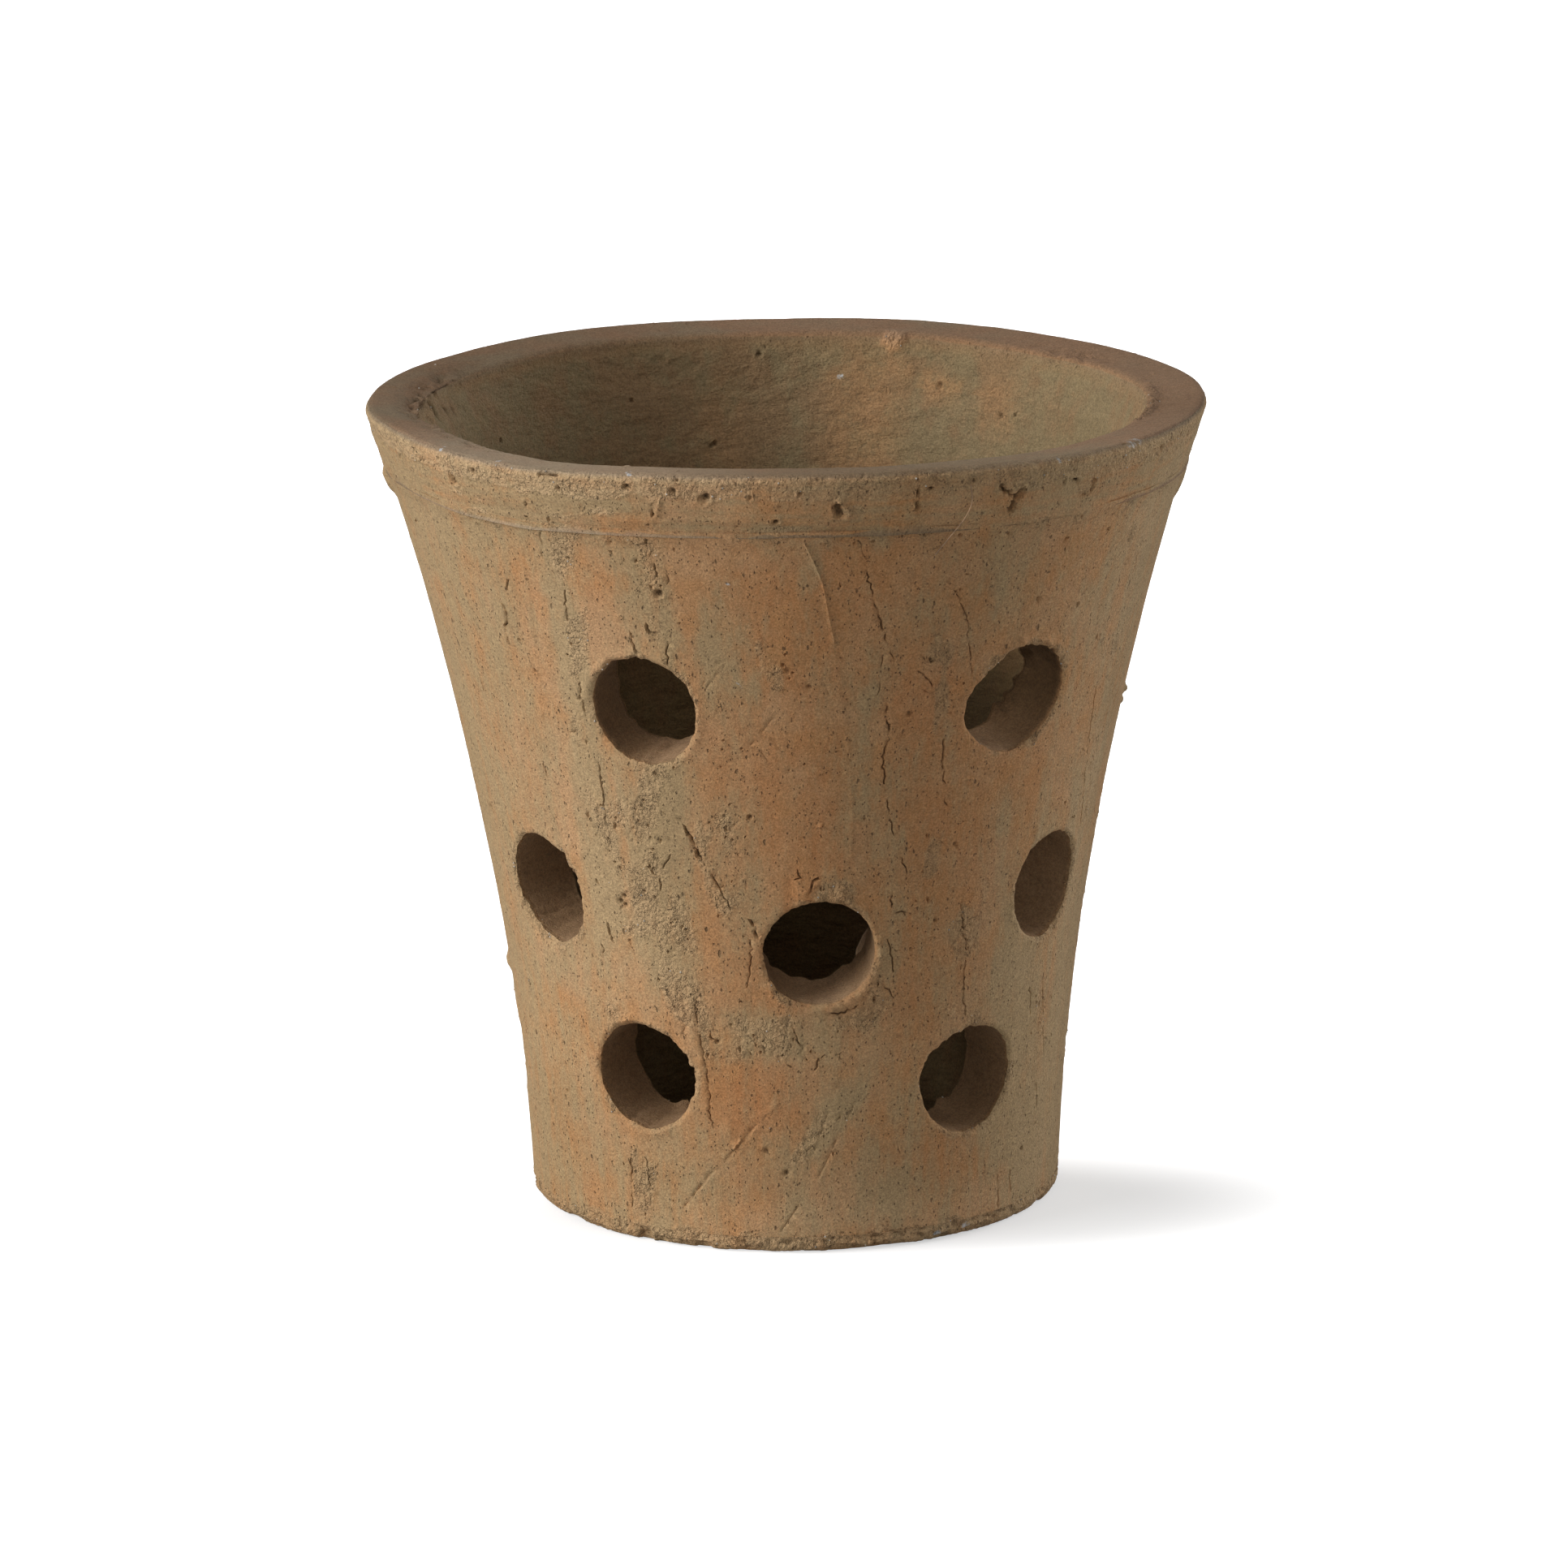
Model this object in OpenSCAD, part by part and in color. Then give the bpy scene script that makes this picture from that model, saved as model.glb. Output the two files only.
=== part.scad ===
// Hand-built terracotta orchid pot: a floor slab, a flared wall pierced by three
// rows of vent holes, and a band of clay laid round the top. Millimetres, +Z up,
// origin at the middle of the foot, front towards -Y.

/* [Pot] */
// Height from the foot to the top of the rim
height = 210; // [195:1:250]
// Outside diameter of the rim
rim_d = 217; // [206:1:236]
// Outside diameter of the foot
foot_d = 138; // [128:1:150]
// Lean of the wall where it leaves the foot, in degrees
foot_slope = 2.7; // [1:0.1:6]
// Thickness of the wall at the foot, measured level
foot_wall = 17; // [14:0.5:20]
// Thickness of the wall at the rim, measured level
rim_wall = 15; // [12:0.5:18]
// Thickness of the floor slab inside the pot
floor_t = 10; // [8:0.5:14]
// Thickness of the slab's edge, beaten out thinner where the wall stands on it
slab_edge_t = 4.5; // [3:0.25:6]
// Radius worn on the foot's outer edge
foot_round = 2.5; // [1:0.25:3]

/* [Rim band] */
// Height of the band of clay laid round the top of the wall
band_h = 15; // [12:0.5:20]
// How far the band stands proud of the wall below it
band_proud = 0.8; // [0.4:0.1:1.5]
// Fall of the top face from its outer edge to its inner edge
band_fall = 1; // [0.2:0.1:2]
// Radius worn on the rim's outer edge
rim_round = 2; // [1:0.25:3]
// Radius worn on the rim's inner edge
lip_round = 2.5; // [1:0.25:4]

/* [Holes] */
// Diameter of the vent holes
vent_d = 28.5; // [22:0.5:31]
// Holes in each row
vents_in_row = 6; // [4:1:6]
// Height of the low row
low_row_z = 44; // [38:1:48]
// Height of the middle row
mid_row_z = 90; // [84:1:96]
// Height of the top row
top_row_z = 146; // [138:1:152]
// Diameter of the drain hole in the floor
drain_d = 28.5; // [15:0.5:40]

/* [Hidden] */
$fn = 180;

clay = [0.69, 0.51, 0.36];
torn_clay = [0.66, 0.53, 0.39];
rim_clay = [0.62, 0.46, 0.34];

// The outside and the inside of the wall are arcs in section. Each starts at the foot
// with foot_slope and ends level with the centre of the rim's rounded outer edge.
// An arc is [radius, centre x, centre z].
edge_z = height - rim_round;
function end_slope(r0, r1) = 2 * atan((r1 - r0) / edge_z) - foot_slope;
function flare_radius(r0, r1) = edge_z / (sin(end_slope(r0, r1)) - sin(foot_slope));
function flare(r0, r1) =
    let (radius = flare_radius(r0, r1))
    [radius, r0 + radius * cos(foot_slope), -radius * sin(foot_slope)];
function flare_x(arc, z) = arc[1] - sqrt(arc[0] * arc[0] - (z - arc[2]) * (z - arc[2]));
function flare_lean(arc, z) = asin((z - arc[2]) / arc[0]);

foot_r = foot_d / 2;
rim_r = rim_d / 2;
outer = flare(foot_r, rim_r - band_proud);
inner = flare(foot_r - foot_wall, rim_r - rim_wall);
// The band's outside is the same arc, moved outwards by band_proud
band_outer = [outer[0] - band_proud, outer[1], outer[2]];
band_z = height - band_h;
section_steps = 8;

// The holes were marked out by eye: each one's turn and rise from its even place,
// in degrees and millimetres. Turns are seen from above and start at the front.
row_pitch = 360 / vents_in_row;
low_row_start = -89;
low_row_turn = [-3, -3.2, 7.1, 4, -3, -1];
low_row_rise = [-2, 2.3, -0.4, -5, 0, 1];
mid_row_start = 1;
mid_row_turn = [4, -4.7, -3, 1, 4, 5.9];
mid_row_rise = [-7.5, 1.8, -2, -4, 0, 2.8];
top_row_start = -86;
top_row_turn = [-12, 1.7, 5.6, 4, 1, -3];
top_row_rise = [0, 1.2, 0.3, 0, -2, 1];

function row_of_vents(start, z, turn, rise) =
    [for (i = [0 : vents_in_row - 1]) [start + i * row_pitch + turn[i], z + rise[i]]];
vents = concat(
    row_of_vents(low_row_start, low_row_z, low_row_turn, low_row_rise),
    row_of_vents(mid_row_start, mid_row_z, mid_row_turn, mid_row_rise),
    row_of_vents(top_row_start, top_row_z, top_row_turn, top_row_rise)
);
// Each cutter runs past both faces of the wall and stops short of the far side
cutter_l = 2 * max(foot_wall, rim_wall) + 20;

// Points of an arc in section, from one height to another
function flare_points(arc, z0, z1) =
    [for (i = [0 : section_steps]) let (z = z0 + (z1 - z0) * i / section_steps) [flare_x(arc, z), z]];
function corner_points(x, z, r, a0, a1) =
    [for (i = [0 : section_steps]) let (a = a0 + (a1 - a0) * i / section_steps) [x + r * cos(a), z + r * sin(a)]];

// A vent hole's cutter, square to the wall where it goes through
module vent_cutter(turn, z) {
    middle_r = (flare_x(outer, z) + flare_x(inner, z)) / 2;
    rotate([0, 0, turn])
        translate([0, -middle_r, z])
            rotate([90 + flare_lean(outer, z), 0, 0])
                cylinder(h = cutter_l, d = vent_d, center = true);
}

// Half of the wall's section, from one height to another
module wall_section(z0, z1) {
    intersection() {
        translate([0, z0])
            square([rim_r, z1 - z0]);
        difference() {
            translate([inner[1], inner[2]])
                circle(r = inner[0]);
            translate([outer[1], outer[2]])
                circle(r = outer[0]);
        }
    }
}

// The floor slab: the wall stands on its edge, which shows round the foot
module floor_slab() {
    edge_r = flare_x(outer, slab_edge_t);
    color(torn_clay)
        difference() {
            rotate_extrude()
                difference() {
                    union() {
                        square([foot_r - foot_wall, floor_t]);
                        polygon(concat(
                            [[0, 0]],
                            corner_points(edge_r - foot_round, foot_round, foot_round, -90, 0),
                            [[edge_r, slab_edge_t], [0, slab_edge_t]]
                        ));
                    }
                    wall_section(slab_edge_t, floor_t);
                }
            translate([0, 0, -1])
                cylinder(h = floor_t + 2, d = drain_d);
        }
}

// The flared wall between the floor slab and the rim band, with its vent holes
module wall() {
    color(clay)
        difference() {
            rotate_extrude()
                wall_section(slab_edge_t, band_z);
            for (vent = vents)
                vent_cutter(vent[0], vent[1]);
        }
}

// The rim band, laid on top of the wall: its lower edge shows as a ledge outside
module rim_band() {
    lip_z = height - band_fall;
    lip_x = flare_x(inner, lip_z - lip_round) + lip_round;
    color(rim_clay)
        rotate_extrude()
            polygon(concat(
                flare_points(band_outer, band_z, edge_z),
                corner_points(rim_r - rim_round, edge_z, rim_round, 0, 90),
                corner_points(lip_x, lip_z - lip_round, lip_round, 90, 180),
                flare_points(inner, lip_z - lip_round, band_z)
            ));
}

floor_slab();
wall();
rim_band();
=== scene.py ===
"""A hand-built clay orchid pot with three rows of vent holes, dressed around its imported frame."""

import itertools
import math

import bmesh
import bpy
import numpy as np
from mathutils import Matrix, Vector
from mathutils.geometry import delaunay_2d_cdt


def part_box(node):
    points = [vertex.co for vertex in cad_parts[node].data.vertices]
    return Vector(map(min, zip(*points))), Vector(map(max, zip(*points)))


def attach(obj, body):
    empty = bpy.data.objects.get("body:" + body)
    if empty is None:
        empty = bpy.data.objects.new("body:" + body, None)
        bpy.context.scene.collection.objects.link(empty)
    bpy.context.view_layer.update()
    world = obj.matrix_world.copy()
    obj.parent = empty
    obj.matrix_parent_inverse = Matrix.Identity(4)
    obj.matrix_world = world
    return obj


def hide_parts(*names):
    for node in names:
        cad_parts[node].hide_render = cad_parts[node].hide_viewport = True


bl_info = {
    "name": "Hand-built orchid pot",
    "version": (1, 0, 0),
    "blender": (4, 5, 0),
    "location": "3D View > Sidebar > Orchid pot",
    "description": "Dresses a vented clay orchid pot around its frame",
    "category": "Object",
}

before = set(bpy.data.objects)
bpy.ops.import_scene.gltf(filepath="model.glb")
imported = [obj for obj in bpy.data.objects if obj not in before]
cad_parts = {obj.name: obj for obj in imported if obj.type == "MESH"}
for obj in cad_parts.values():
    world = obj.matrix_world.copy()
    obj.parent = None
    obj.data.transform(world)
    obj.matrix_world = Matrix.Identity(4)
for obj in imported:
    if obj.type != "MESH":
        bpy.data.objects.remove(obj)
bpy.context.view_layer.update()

MM = 0.001
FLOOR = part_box("floor_slab")
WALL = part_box("wall")
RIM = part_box("rim_band")

# Heights and the rim's radius come from the frame. Shapes are worked out in millimetres.
HEIGHT = RIM[1].z / MM
RIM_R = (RIM[1].x - RIM[0].x) / 2 / MM
BAND_Z = RIM[0].z / MM
SLAB_EDGE_Z = WALL[0].z / MM
FLOOR_Z = FLOOR[1].z / MM

# Azimuths are in degrees, seen from above: 0 is the front, -Y, and 90 is the right, +X.
# The wall is rolled out from SEAM, where no vent hole is.
SEAM = -132.0
PLAN_R = 85.0

# The vent holes: azimuth and height of each, row by row
LOW_ROW = [(-92, 42), (-32.2, 46.3), (38.1, 43.6), (95, 39), (148, 44), (210, 45)]
MIDDLE_ROW = [(5, 82.5), (56.3, 91.8), (118, 88), (182, 86), (245, 90), (306.9, 92.8)]
TOP_ROW = [(-98, 146), (-24.3, 147.2), (39.6, 146.3), (98, 146), (155, 144), (211, 147)]

# Where a hole's edge is worn or chipped away: the hole, angle round it, half width, extra millimetres
VENT_WEAR = [
    (11, 245, 50, 2.2), (6, 20, 45, 0.7), (6, 285, 50, 0.9), (2, 160, 45, 1.2), (13, 130, 50, 0.9), (1, 120, 50, 1),
    (14, 215, 45, 0.5), (4, 80, 60, 1.6), (9, 250, 50, 1.8), (16, 40, 60, 1.5),
]
# Where a hole is wider than a plain circle: the hole, angle round it, half width, millimetres
VENT_WIDE = [
    (14, 15, 60, 2.4), (14, 180, 45, 1.4), (14, 85, 50, 1.5), (13, 60, 60, 0.7), (13, 110, 40, 0.5),
    (11, 100, 40, 0.5), (2, 160, 40, 0.5), (1, 10, 40, 0.5), (7, 195, 60, -0.7), (11, 0, 25, -0.5),
]
# Ragged stretches of a hole's edge: the hole, angle round it, half width, millimetres
VENT_RAGGED = [
    (13, 110, 60, 0.5), (13, -90, 45, 0.3), (14, 60, 60, 0.45), (1, 20, 70, 0.6), (2, 100, 60, 0.5), (2, 0, 40, 0.4),
    (11, 20, 50, 0.7), (6, 170, 40, 0.4), (7, 60, 60, 0.3), (16, 40, 90, 0.5), (9, 180, 90, 0.5), (4, 90, 90, 0.5),
]
# Crumbly lips raised beside a hole: the hole, angle round it, half width, millimetres
VENT_LIPS = [
    (6, -72, 38, 0.9), (6, 0, 50, 0.6), (6, 60, 30, 0.4), (13, -10, 40, 0.4), (13, 120, 50, 0.4), (14, 105, 45, 1.2),
    (14, 60, 25, 0.8), (14, 165, 40, 0.6), (1, 100, 50, 0.4), (1, -80, 40, 0.4), (2, -150, 40, 0.4),
    (7, 180, 60, 0.5), (11, 200, 60, 0.5), (2, 20, 60, 0.3), (4, 0, 60, 0.6), (9, 30, 60, 0.6), (16, 200, 60, 0.6),
]
# Clay hanging into a hole from its inner edge: the hole, angle round it, half width, millimetres
EXIT_BURRS = [
    (14, -38, 36, 2.4), (14, -13, 9, 1.2), (14, 35, 40, 1.6), (2, -72, 16, 1.8), (1, -88, 16, 1.2), (11, 30, 25, 1.2),
    (13, -135, 48, -0.9), (6, -60, 20, 0.6), (16, 200, 20, 1.4), (9, -60, 20, 1.2),
]
# Painted light and shade on the cut clay in a hole, lighter where light falls in and darker where it can't reach: the
# hole, angle round it, half width, share
BORE_LIGHT_AND_SHADE = [
    (14, 20, 108, 0.32), (14, -115, 58, 1.75), (6, -90, 60, 1.5), (11, -60, 50, 1.35), (13, -80, 40, 1.3),
    (13, 185, 95, 0.5), (2, -90, 50, 1.3), (7, -90, 50, 1.15), (1, 180, 50, 0.9),
]
# Lumps raised on the outside: azimuth, height, radius, how high
KNOBS = [
    (-86.5, 61.4, 3, 0.9), (93, 57.5, 3.8, 0.5), (85.5, 133.4, 1.7, 1), (85, 130.6, 1.3, 0.5), (-86, 190.3, 5.4, 1.6),
    (86, 188.8, 6.5, 1.2), (5.2, 116.1, 0.9, 0.5), (2, 97.5, 2.6, 0.5), (9, 97.5, 3, 0.6), (-41, 104, 2.2, 0.4),
    (-14, 33, 3, 0.35), (50, 107, 2, 0.4),
]
# Drying cracks and grooves in the wall: half width, depth, then azimuth and height of each point
CRACKS = [
    (0.18, 0.4, 9.6, 192.3, 10.3, 189.5, 10.9, 187.3), (0.17, 0.45, 11, 185, 11.5, 181.3, 12.3, 177.3),
    (0.28, 0.6, 12.5, 175.6, 13.4, 171.3, 14.5, 167.3, 15, 164.6), (0.13, 0.3, 14.5, 160.7, 14.4, 154.8, 14, 150.9),
    (0.14, 0.35, 15.5, 161.9, 16.7, 157.5), (0.29, 0.75, 15.3, 148.8, 16.2, 142.2, 16.2, 138.8),
    (0.22, 0.6, 16.2, 138.8, 15.6, 135.9, 15.6, 131.9, 16, 129.4, 16, 126),
    (0.16, 0.45, 16.7, 121.9, 17.1, 119.4, 18.2, 112, 21.1, 102), (0.2, 0.45, 9.5, 136, 10, 133.5, 10.2, 131.3),
    (0.4, 0.9, 4.5, 102, 3.5, 99.3, 3, 97.8), (0.25, 0.55, 1.1, 103.8, 1.7, 102.1, 0.2, 101.4),
    (0.22, 0.6, 26.1, 137, 26.5, 129), (0.14, 0.4, 26.7, 128, 27.4, 123, 28, 117),
    (0.13, 0.35, 25.1, 176.8, 26.7, 171.9, 27.9, 167.1, 28.9, 158.4, 29.9, 154.3),
    (0.24, 0.5, 20.7, 160.5, 21.6, 158.8, 22.8, 158.5), (0.24, 0.55, 20.5, 156, 21.9, 154.6, 23, 151.9),
    (0.24, 0.5, -45.9, 177, -46.4, 174), (0.32, 0.9, -48, 169, -48.6, 165, -49.4, 162, -49, 158),
    (0.22, 0.45, -60.8, 148, -60.3, 143), (0.2, 0.45, -46.8, 127, -46.5, 123), (0.18, 0.4, -33.9, 128.4, -34, 124.3),
    (0.25, 0.6, -24.2, 166.8, -24.4, 164.6, -23.6, 161.9), (0.42, 0.9, -21.6, 169.2, -21.2, 167.6, -20.3, 167.3),
    (0.3, 0.7, -20, 179.5, -19.4, 178.4, -18.7, 177.5), (0.2, 0.5, -18.4, 164.5, -18.8, 161.8, -18.9, 158.9),
    (0.18, 0.5, -17, 177.2, -16.6, 173.9, -15.7, 171.3), (0.22, 0.45, -19.4, 189.3, -19.1, 184.5, -19, 182.1),
    (0.17, 0.35, -17.4, 185, -17.3, 180.9), (0.24, 0.45, -25.3, 188.5, -25.2, 187.2),
    (0.13, 0.3, -36.4, 193.2, -37, 190, -37.4, 186.2), (0.16, 0.35, -34.6, 177, -35.1, 168.4),
    (0.22, 0.45, -35.3, 155, -35.2, 151.3, -35, 142.3), (0.18, 0.35, -33.7, 131, -34.4, 113),
    (0.24, 0.6, 32.8, 92, 33.9, 85, 35.4, 78), (0.17, 0.5, 35.2, 76, 34.8, 73, 35.2, 65, 36.1, 60),
    (0.26, 0.6, 6.3, 65.4, 8.6, 65, 11.2, 65.9, 12.3, 67.2), (0.24, 0.55, 0.1, 60.7, 1.1, 56.8, 1.8, 54.3, 2.6, 52.3),
    (0.3, 0.6, 4, 49.9, 4.3, 51.4, 4.8, 52.8), (0.16, 0.35, 5.3, 53.2, 7.4, 54.2, 9.2, 54),
    (0.2, 0.4, -3.5, 54.6, -1.8, 52, -0.4, 50.5), (0.2, 0.45, -11, 53.7, -8.8, 55, -8.4, 54.1),
    (0.32, 0.55, -16.7, 58.4, -15.9, 57.3, -14.7, 56.7), (0.18, 0.4, -6.2, 56.3, -5.8, 54.7),
    (0.2, 0.5, 18.1, 84, 19.6, 75), (0.18, 0.45, 17.5, 73, 20.1, 67), (0.24, 0.6, 18.5, 97, 18.7, 93),
    (0.28, 0.55, 19.5, 91, 21.3, 91), (0.3, 0.8, -18.9, 115.1, -18, 113.4),
    (0.55, 1.1, -18, 113.4, -17.2, 109.5, -16.3, 106.9), (0.4, 0.8, -16.3, 106.9, -15.4, 104.7),
    (0.24, 0.6, -14.3, 102.1, -13.4, 99.7, -12.6, 97), (0.14, 0.35, -12.6, 97, -11.6, 94.6, -10.8, 90),
    (0.5, 1, -7.5, 90.1, -6.9, 88.1, -6.5, 86.3), (0.22, 0.5, -7.8, 84.6, -7.7, 80.7, -8.9, 72),
    (0.2, 0.45, -21.9, 107, -23.2, 104.1, -24.3, 101.5, -24.8, 96),
    (0.28, 0.6, -26.3, 103.7, -25.5, 101.3, -24.8, 100.9), (0.26, 0.6, -37.2, 85.8, -36.6, 83.5, -36, 81.1),
    (0.2, 0.45, -33.3, 91.1, -33.4, 88.6, -34, 86.5),
    (0.15, 0.45, -19.4, 69.7, -19.2, 64.5, -18.7, 58.1, -18.1, 52.9, -17.6, 45, -17.6, 38.1, -17.4, 33.9),
    (0.26, 0.55, -37, 86.2, -36.2, 82.3), (0.22, 0.45, -39.2, 79.9, -38.8, 78.6, -39.3, 77.3),
    (0.18, 0.35, -38.3, 91.6, -37.3, 90.1), (0.18, 0.4, -37.1, 22, -37.4, 9), (0.16, 0.4, -32.8, 23, -32.6, 10),
    (0.16, 0.35, 54.6, 62.3, 55.6, 55.4), (0.14, 0.3, 59, 64.3, 62.7, 43), (0.15, 0.3, 60.3, 35.4, 61.2, 28.5),
    (0.16, 0.4, 47.8, 14, 48.3, 5.4), (0.13, 0.3, 51.9, 14.3, 52.5, 5.1),
    (0.14, 0.35, 61.4, 143, 64.3, 119, 67.5, 102), (0.2, 0.45, -83, 128, -81, 112, -80, 100),
    (0.3, 0.75, 126, 176, 128, 166, 127, 158, 130, 149), (0.26, 0.6, 134, 132, 136, 118, 135, 104, 138, 92),
    (0.26, 0.6, 171, 122, 169, 112, 171, 104), (0.26, 0.6, -126, 168, -127, 154, -124, 146),
    (0.3, 0.75, -118, 62, -120, 50, -118, 38, -121, 24), (0.26, 0.55, -171, 60, -169, 46, -170, 30),
    (0.26, 0.6, 186, 168, 184, 158, 187, 146, 185, 134),
]
# Long shallow tool grooves
GROOVES = [
    (0.5, 0.5, -4.4, 40, -12.7, 28, -20.6, 17, -24.6, 11), (0.25, 0.25, 3.3, 29, -0.4, 25),
    (0.25, 0.25, 1.6, 15, -3.5, 6), (0.2, 0.2, 8.7, 46, 3.6, 27), (0.2, 0.2, 12.4, 41, 4.4, 20),
    (0.2, 0.2, -14.3, 152.3, -10.4, 160.6), (0.2, 0.2, -13, 153, -9.6, 160),
    (0.2, 0.2, -6.1, 138.4, -2.4, 146.1, -0.6, 149.7), (0.15, 0.14, -3.8, 141.7, -1.5, 136.7),
    (0.2, 0.22, -4.6, 136.2, -3.3, 132.8), (0.2, 0.2, -26.9, 122.4, -28.3, 116.2, -29.4, 108.6),
    (0.15, 0.16, -28.5, 114.7, -30.4, 110), (0.15, 0.14, -4.5, 185.1, 1, 176.1),
    (0.18, 0.16, 1.7, 162.3, 5.5, 154.9, 6.5, 148.3, 8.3, 142.2), (0.15, 0.14, 21, 173.6, 25.4, 181.6),
    (0.2, 0.2, 9.6, 139.2, 10.1, 131.1), (0.25, 0.25, -23.1, 71, -21.2, 62, -24, 55), (0.35, 0.3, 140, 60, 152, 22),
    (0.3, 0.3, -142, 132, -134, 110),
]
# Raised threads of clay that the smoothing tool left: half width, height, points
RIDGES = [
    (0.36, 0.5, 2.3, 192.1, 3.9, 185.8, 4.8, 181.2, 6.2, 170.6, 6.8, 165.3),
    (0.36, 0.16, 6.8, 165.3, 8, 150, 9.6, 137, 10.6, 119, 10.7, 106),
    (0.9, 0.55, -20.4, 69.7, -20.2, 64.5, -19.7, 58.1, -19.1, 52.9, -18.6, 45, -18.6, 38.1),
    (0.5, 0.35, -3.6, 41, -12, 29, -20, 18), (0.5, 0.3, -41, 188, -43, 160, -44.5, 140),
    (0.5, 0.35, 160, 190, 163, 170, 164, 158), (0.6, 0.4, -108, 128, -110, 104, -109, 84),
]
# Single pits: azimuth, height, radius, depth
PITS = [
    (-19, 178, 1.3, 1.3), (-44.1, 153, 0.8, 1), (-69.8, 109, 1, 1.2), (-33.4, 92.8, 0.9, 1.1), (-32.4, 94.5, 0.8, 1),
    (-32.4, 92, 0.8, 1.1), (-26.3, 103.2, 0.5, 0.9), (-25.2, 108.1, 0.5, 0.8), (-23.6, 110.8, 0.5, 0.7),
    (-34.3, 109.5, 0.5, 0.7), (-34.4, 106.2, 0.4, 0.7), (-33.5, 103.4, 0.4, 0.7), (-27.8, 96.5, 0.4, 0.7),
    (-22.2, 89.4, 0.4, 0.6), (-20.8, 87.8, 0.5, 0.6), (-32.3, 82.4, 0.5, 0.7), (-7, 118.6, 0.9, 1),
    (-10.8, 139.2, 0.4, 0.6), (-11.1, 136.7, 0.4, 0.7), (-7.9, 137.1, 0.4, 0.7), (-11.5, 132, 0.4, 0.5),
    (2.4, 132.9, 0.4, 0.6), (-0.2, 131.3, 0.4, 0.5), (12.8, 117.4, 0.35, 0.5), (-9.3, 108.4, 0.6, 0.4),
    (19.4, 145, 0.9, 0.8), (-6.2, 28, 1.2, 0.8), (-2.1, 22, 1.1, 0.8), (55.9, 19, 0.7, 0.9), (-0.3, 158, 0.9, 0.6),
    (30.5, 108, 0.8, 0.8), (-55, 36, 0.7, 0.7), (27.5, 88, 0.7, 0.8), (40, 172, 0.6, 0.8), (49.5, 168, 0.6, 0.9),
    (3, 153.7, 0.8, 0.7), (-32.8, 186.1, 0.5, 0.7), (-21.8, 186.4, 0.5, 0.7), (-25.3, 191.5, 0.5, 0.6),
    (-19.8, 192.4, 0.5, 0.7), (52.8, 186.8, 0.8, 1), (24.3, 192.3, 0.6, 0.7), (32.2, 191.3, 0.5, 0.7),
    (-46.3, 160.8, 0.6, 0.8), (-43.9, 152.8, 0.5, 0.6), (-15.3, 57.2, 0.7, 0.9), (-6.6, 54.8, 0.5, 0.6),
    (-0.9, 159.6, 0.6, 0.7), (0.5, 157.4, 0.5, 0.6), (22, 159.4, 0.5, 0.6), (-35.6, 147.5, 0.6, 0.7),
]
# Torn, crumbly clay: azimuth, half width in degrees, low and high edge, how torn
TORN = [
    (-34.5, 3.2, 128, 196, 0.62), (-35.5, 5, 96, 150, 0.62), (-20, 4.5, 156, 196, 0.66), (-23.5, 5, 112, 134, 0.85),
    (-28, 9, 84, 122, 0.62), (-21, 8, 58, 100, 0.66), (-13, 5, 92, 118, 0.6), (-4, 13, 53.5, 64, 0.8),
    (13, 5, 58, 68, 0.7), (8, 6.5, 92, 102, 0.95), (-36.5, 6.5, 46, 66, 0.55), (6, 3.2, 20, 45, 0.66, 0.52),
    (-35, 4, 4, 28, 0.66), (8, 4, 180, 196, 0.72), (-1.5, 2.2, 153, 164, 0.85), (23, 3.5, 144, 166, 0.62),
    (27, 4, 96, 140, 0.58), (35, 3.4, 58, 94, 0.66), (34, 7, 57, 66, 0.6), (24, 9, 180, 194, 0.55),
    (62, 5, 150, 190, 0.52), (66, 7, 96, 160, 0.52), (60, 7, 8, 70, 0.46), (-70, 7, 60, 90, 0.45),
    (-52, 6, 176, 196, 0.62), (14, 10, 60, 78, 0.55), (44, 12, 188, 196, 0.6), (-9, 4.5, 17, 30, 0.52),
    (-88, 7, 96, 130, 0.55), (-104, 6, 60, 190, 0.5), (84, 5, 60, 120, 0.55), (116, 6, 104, 190, 0.6),
    (132, 7, 60, 150, 0.6), (150, 5, 70, 130, 0.62), (168, 7, 100, 196, 0.6), (176, 8, 10, 70, 0.62),
    (194, 5, 100, 190, 0.55), (220, 6, 60, 130, 0.62), (-122, 5, 12, 90, 0.55), (-132, 6, 120, 196, 0.6),
]
# Greenish-grey weathered film: azimuth, half width in degrees, low and high edge, strength
FILM = [
    (-36, 5, 84, 195, 0.9), (-21, 6, 150, 195, 0.5), (-24, 9, 70, 134, 0.8), (-12, 9, 92, 122, 0.5),
    (28, 12, 160, 195, 0.6), (68, 6, 118, 186, 0.9), (50, 12, 14, 92, 0.85), (6, 4, 20, 47, 0.95, 0.52),
    (-56, 14, 8, 66, 0.7), (-62, 22, 60, 192, 0.7), (-42, 18, 182, 212, 0.85), (38, 24, 192, 212, 0.7),
    (-20, 50, -4, 30, 0.45), (-4, 15, 53, 66, 0.7), (14, 5, 100, 150, 0.2), (-11, 2.5, 148, 181, 0.6),
    (-25, 5, 199, 203, 0.8), (18, 12, 4, 22, 0.6), (-8, 7, 84, 108, 0.55), (88, 10, 60, 150, 0.6),
    (-88, 10, 70, 190, 0.5), (118, 8, 110, 190, 0.7), (136, 9, 20, 120, 0.8), (166, 10, 90, 195, 0.7),
    (180, 10, 8, 70, 0.7), (200, 9, 120, 190, 0.6), (216, 9, 60, 130, 0.8), (-118, 9, 20, 120, 0.6),
    (-110, 8, 130, 195, 0.6),
]
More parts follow.
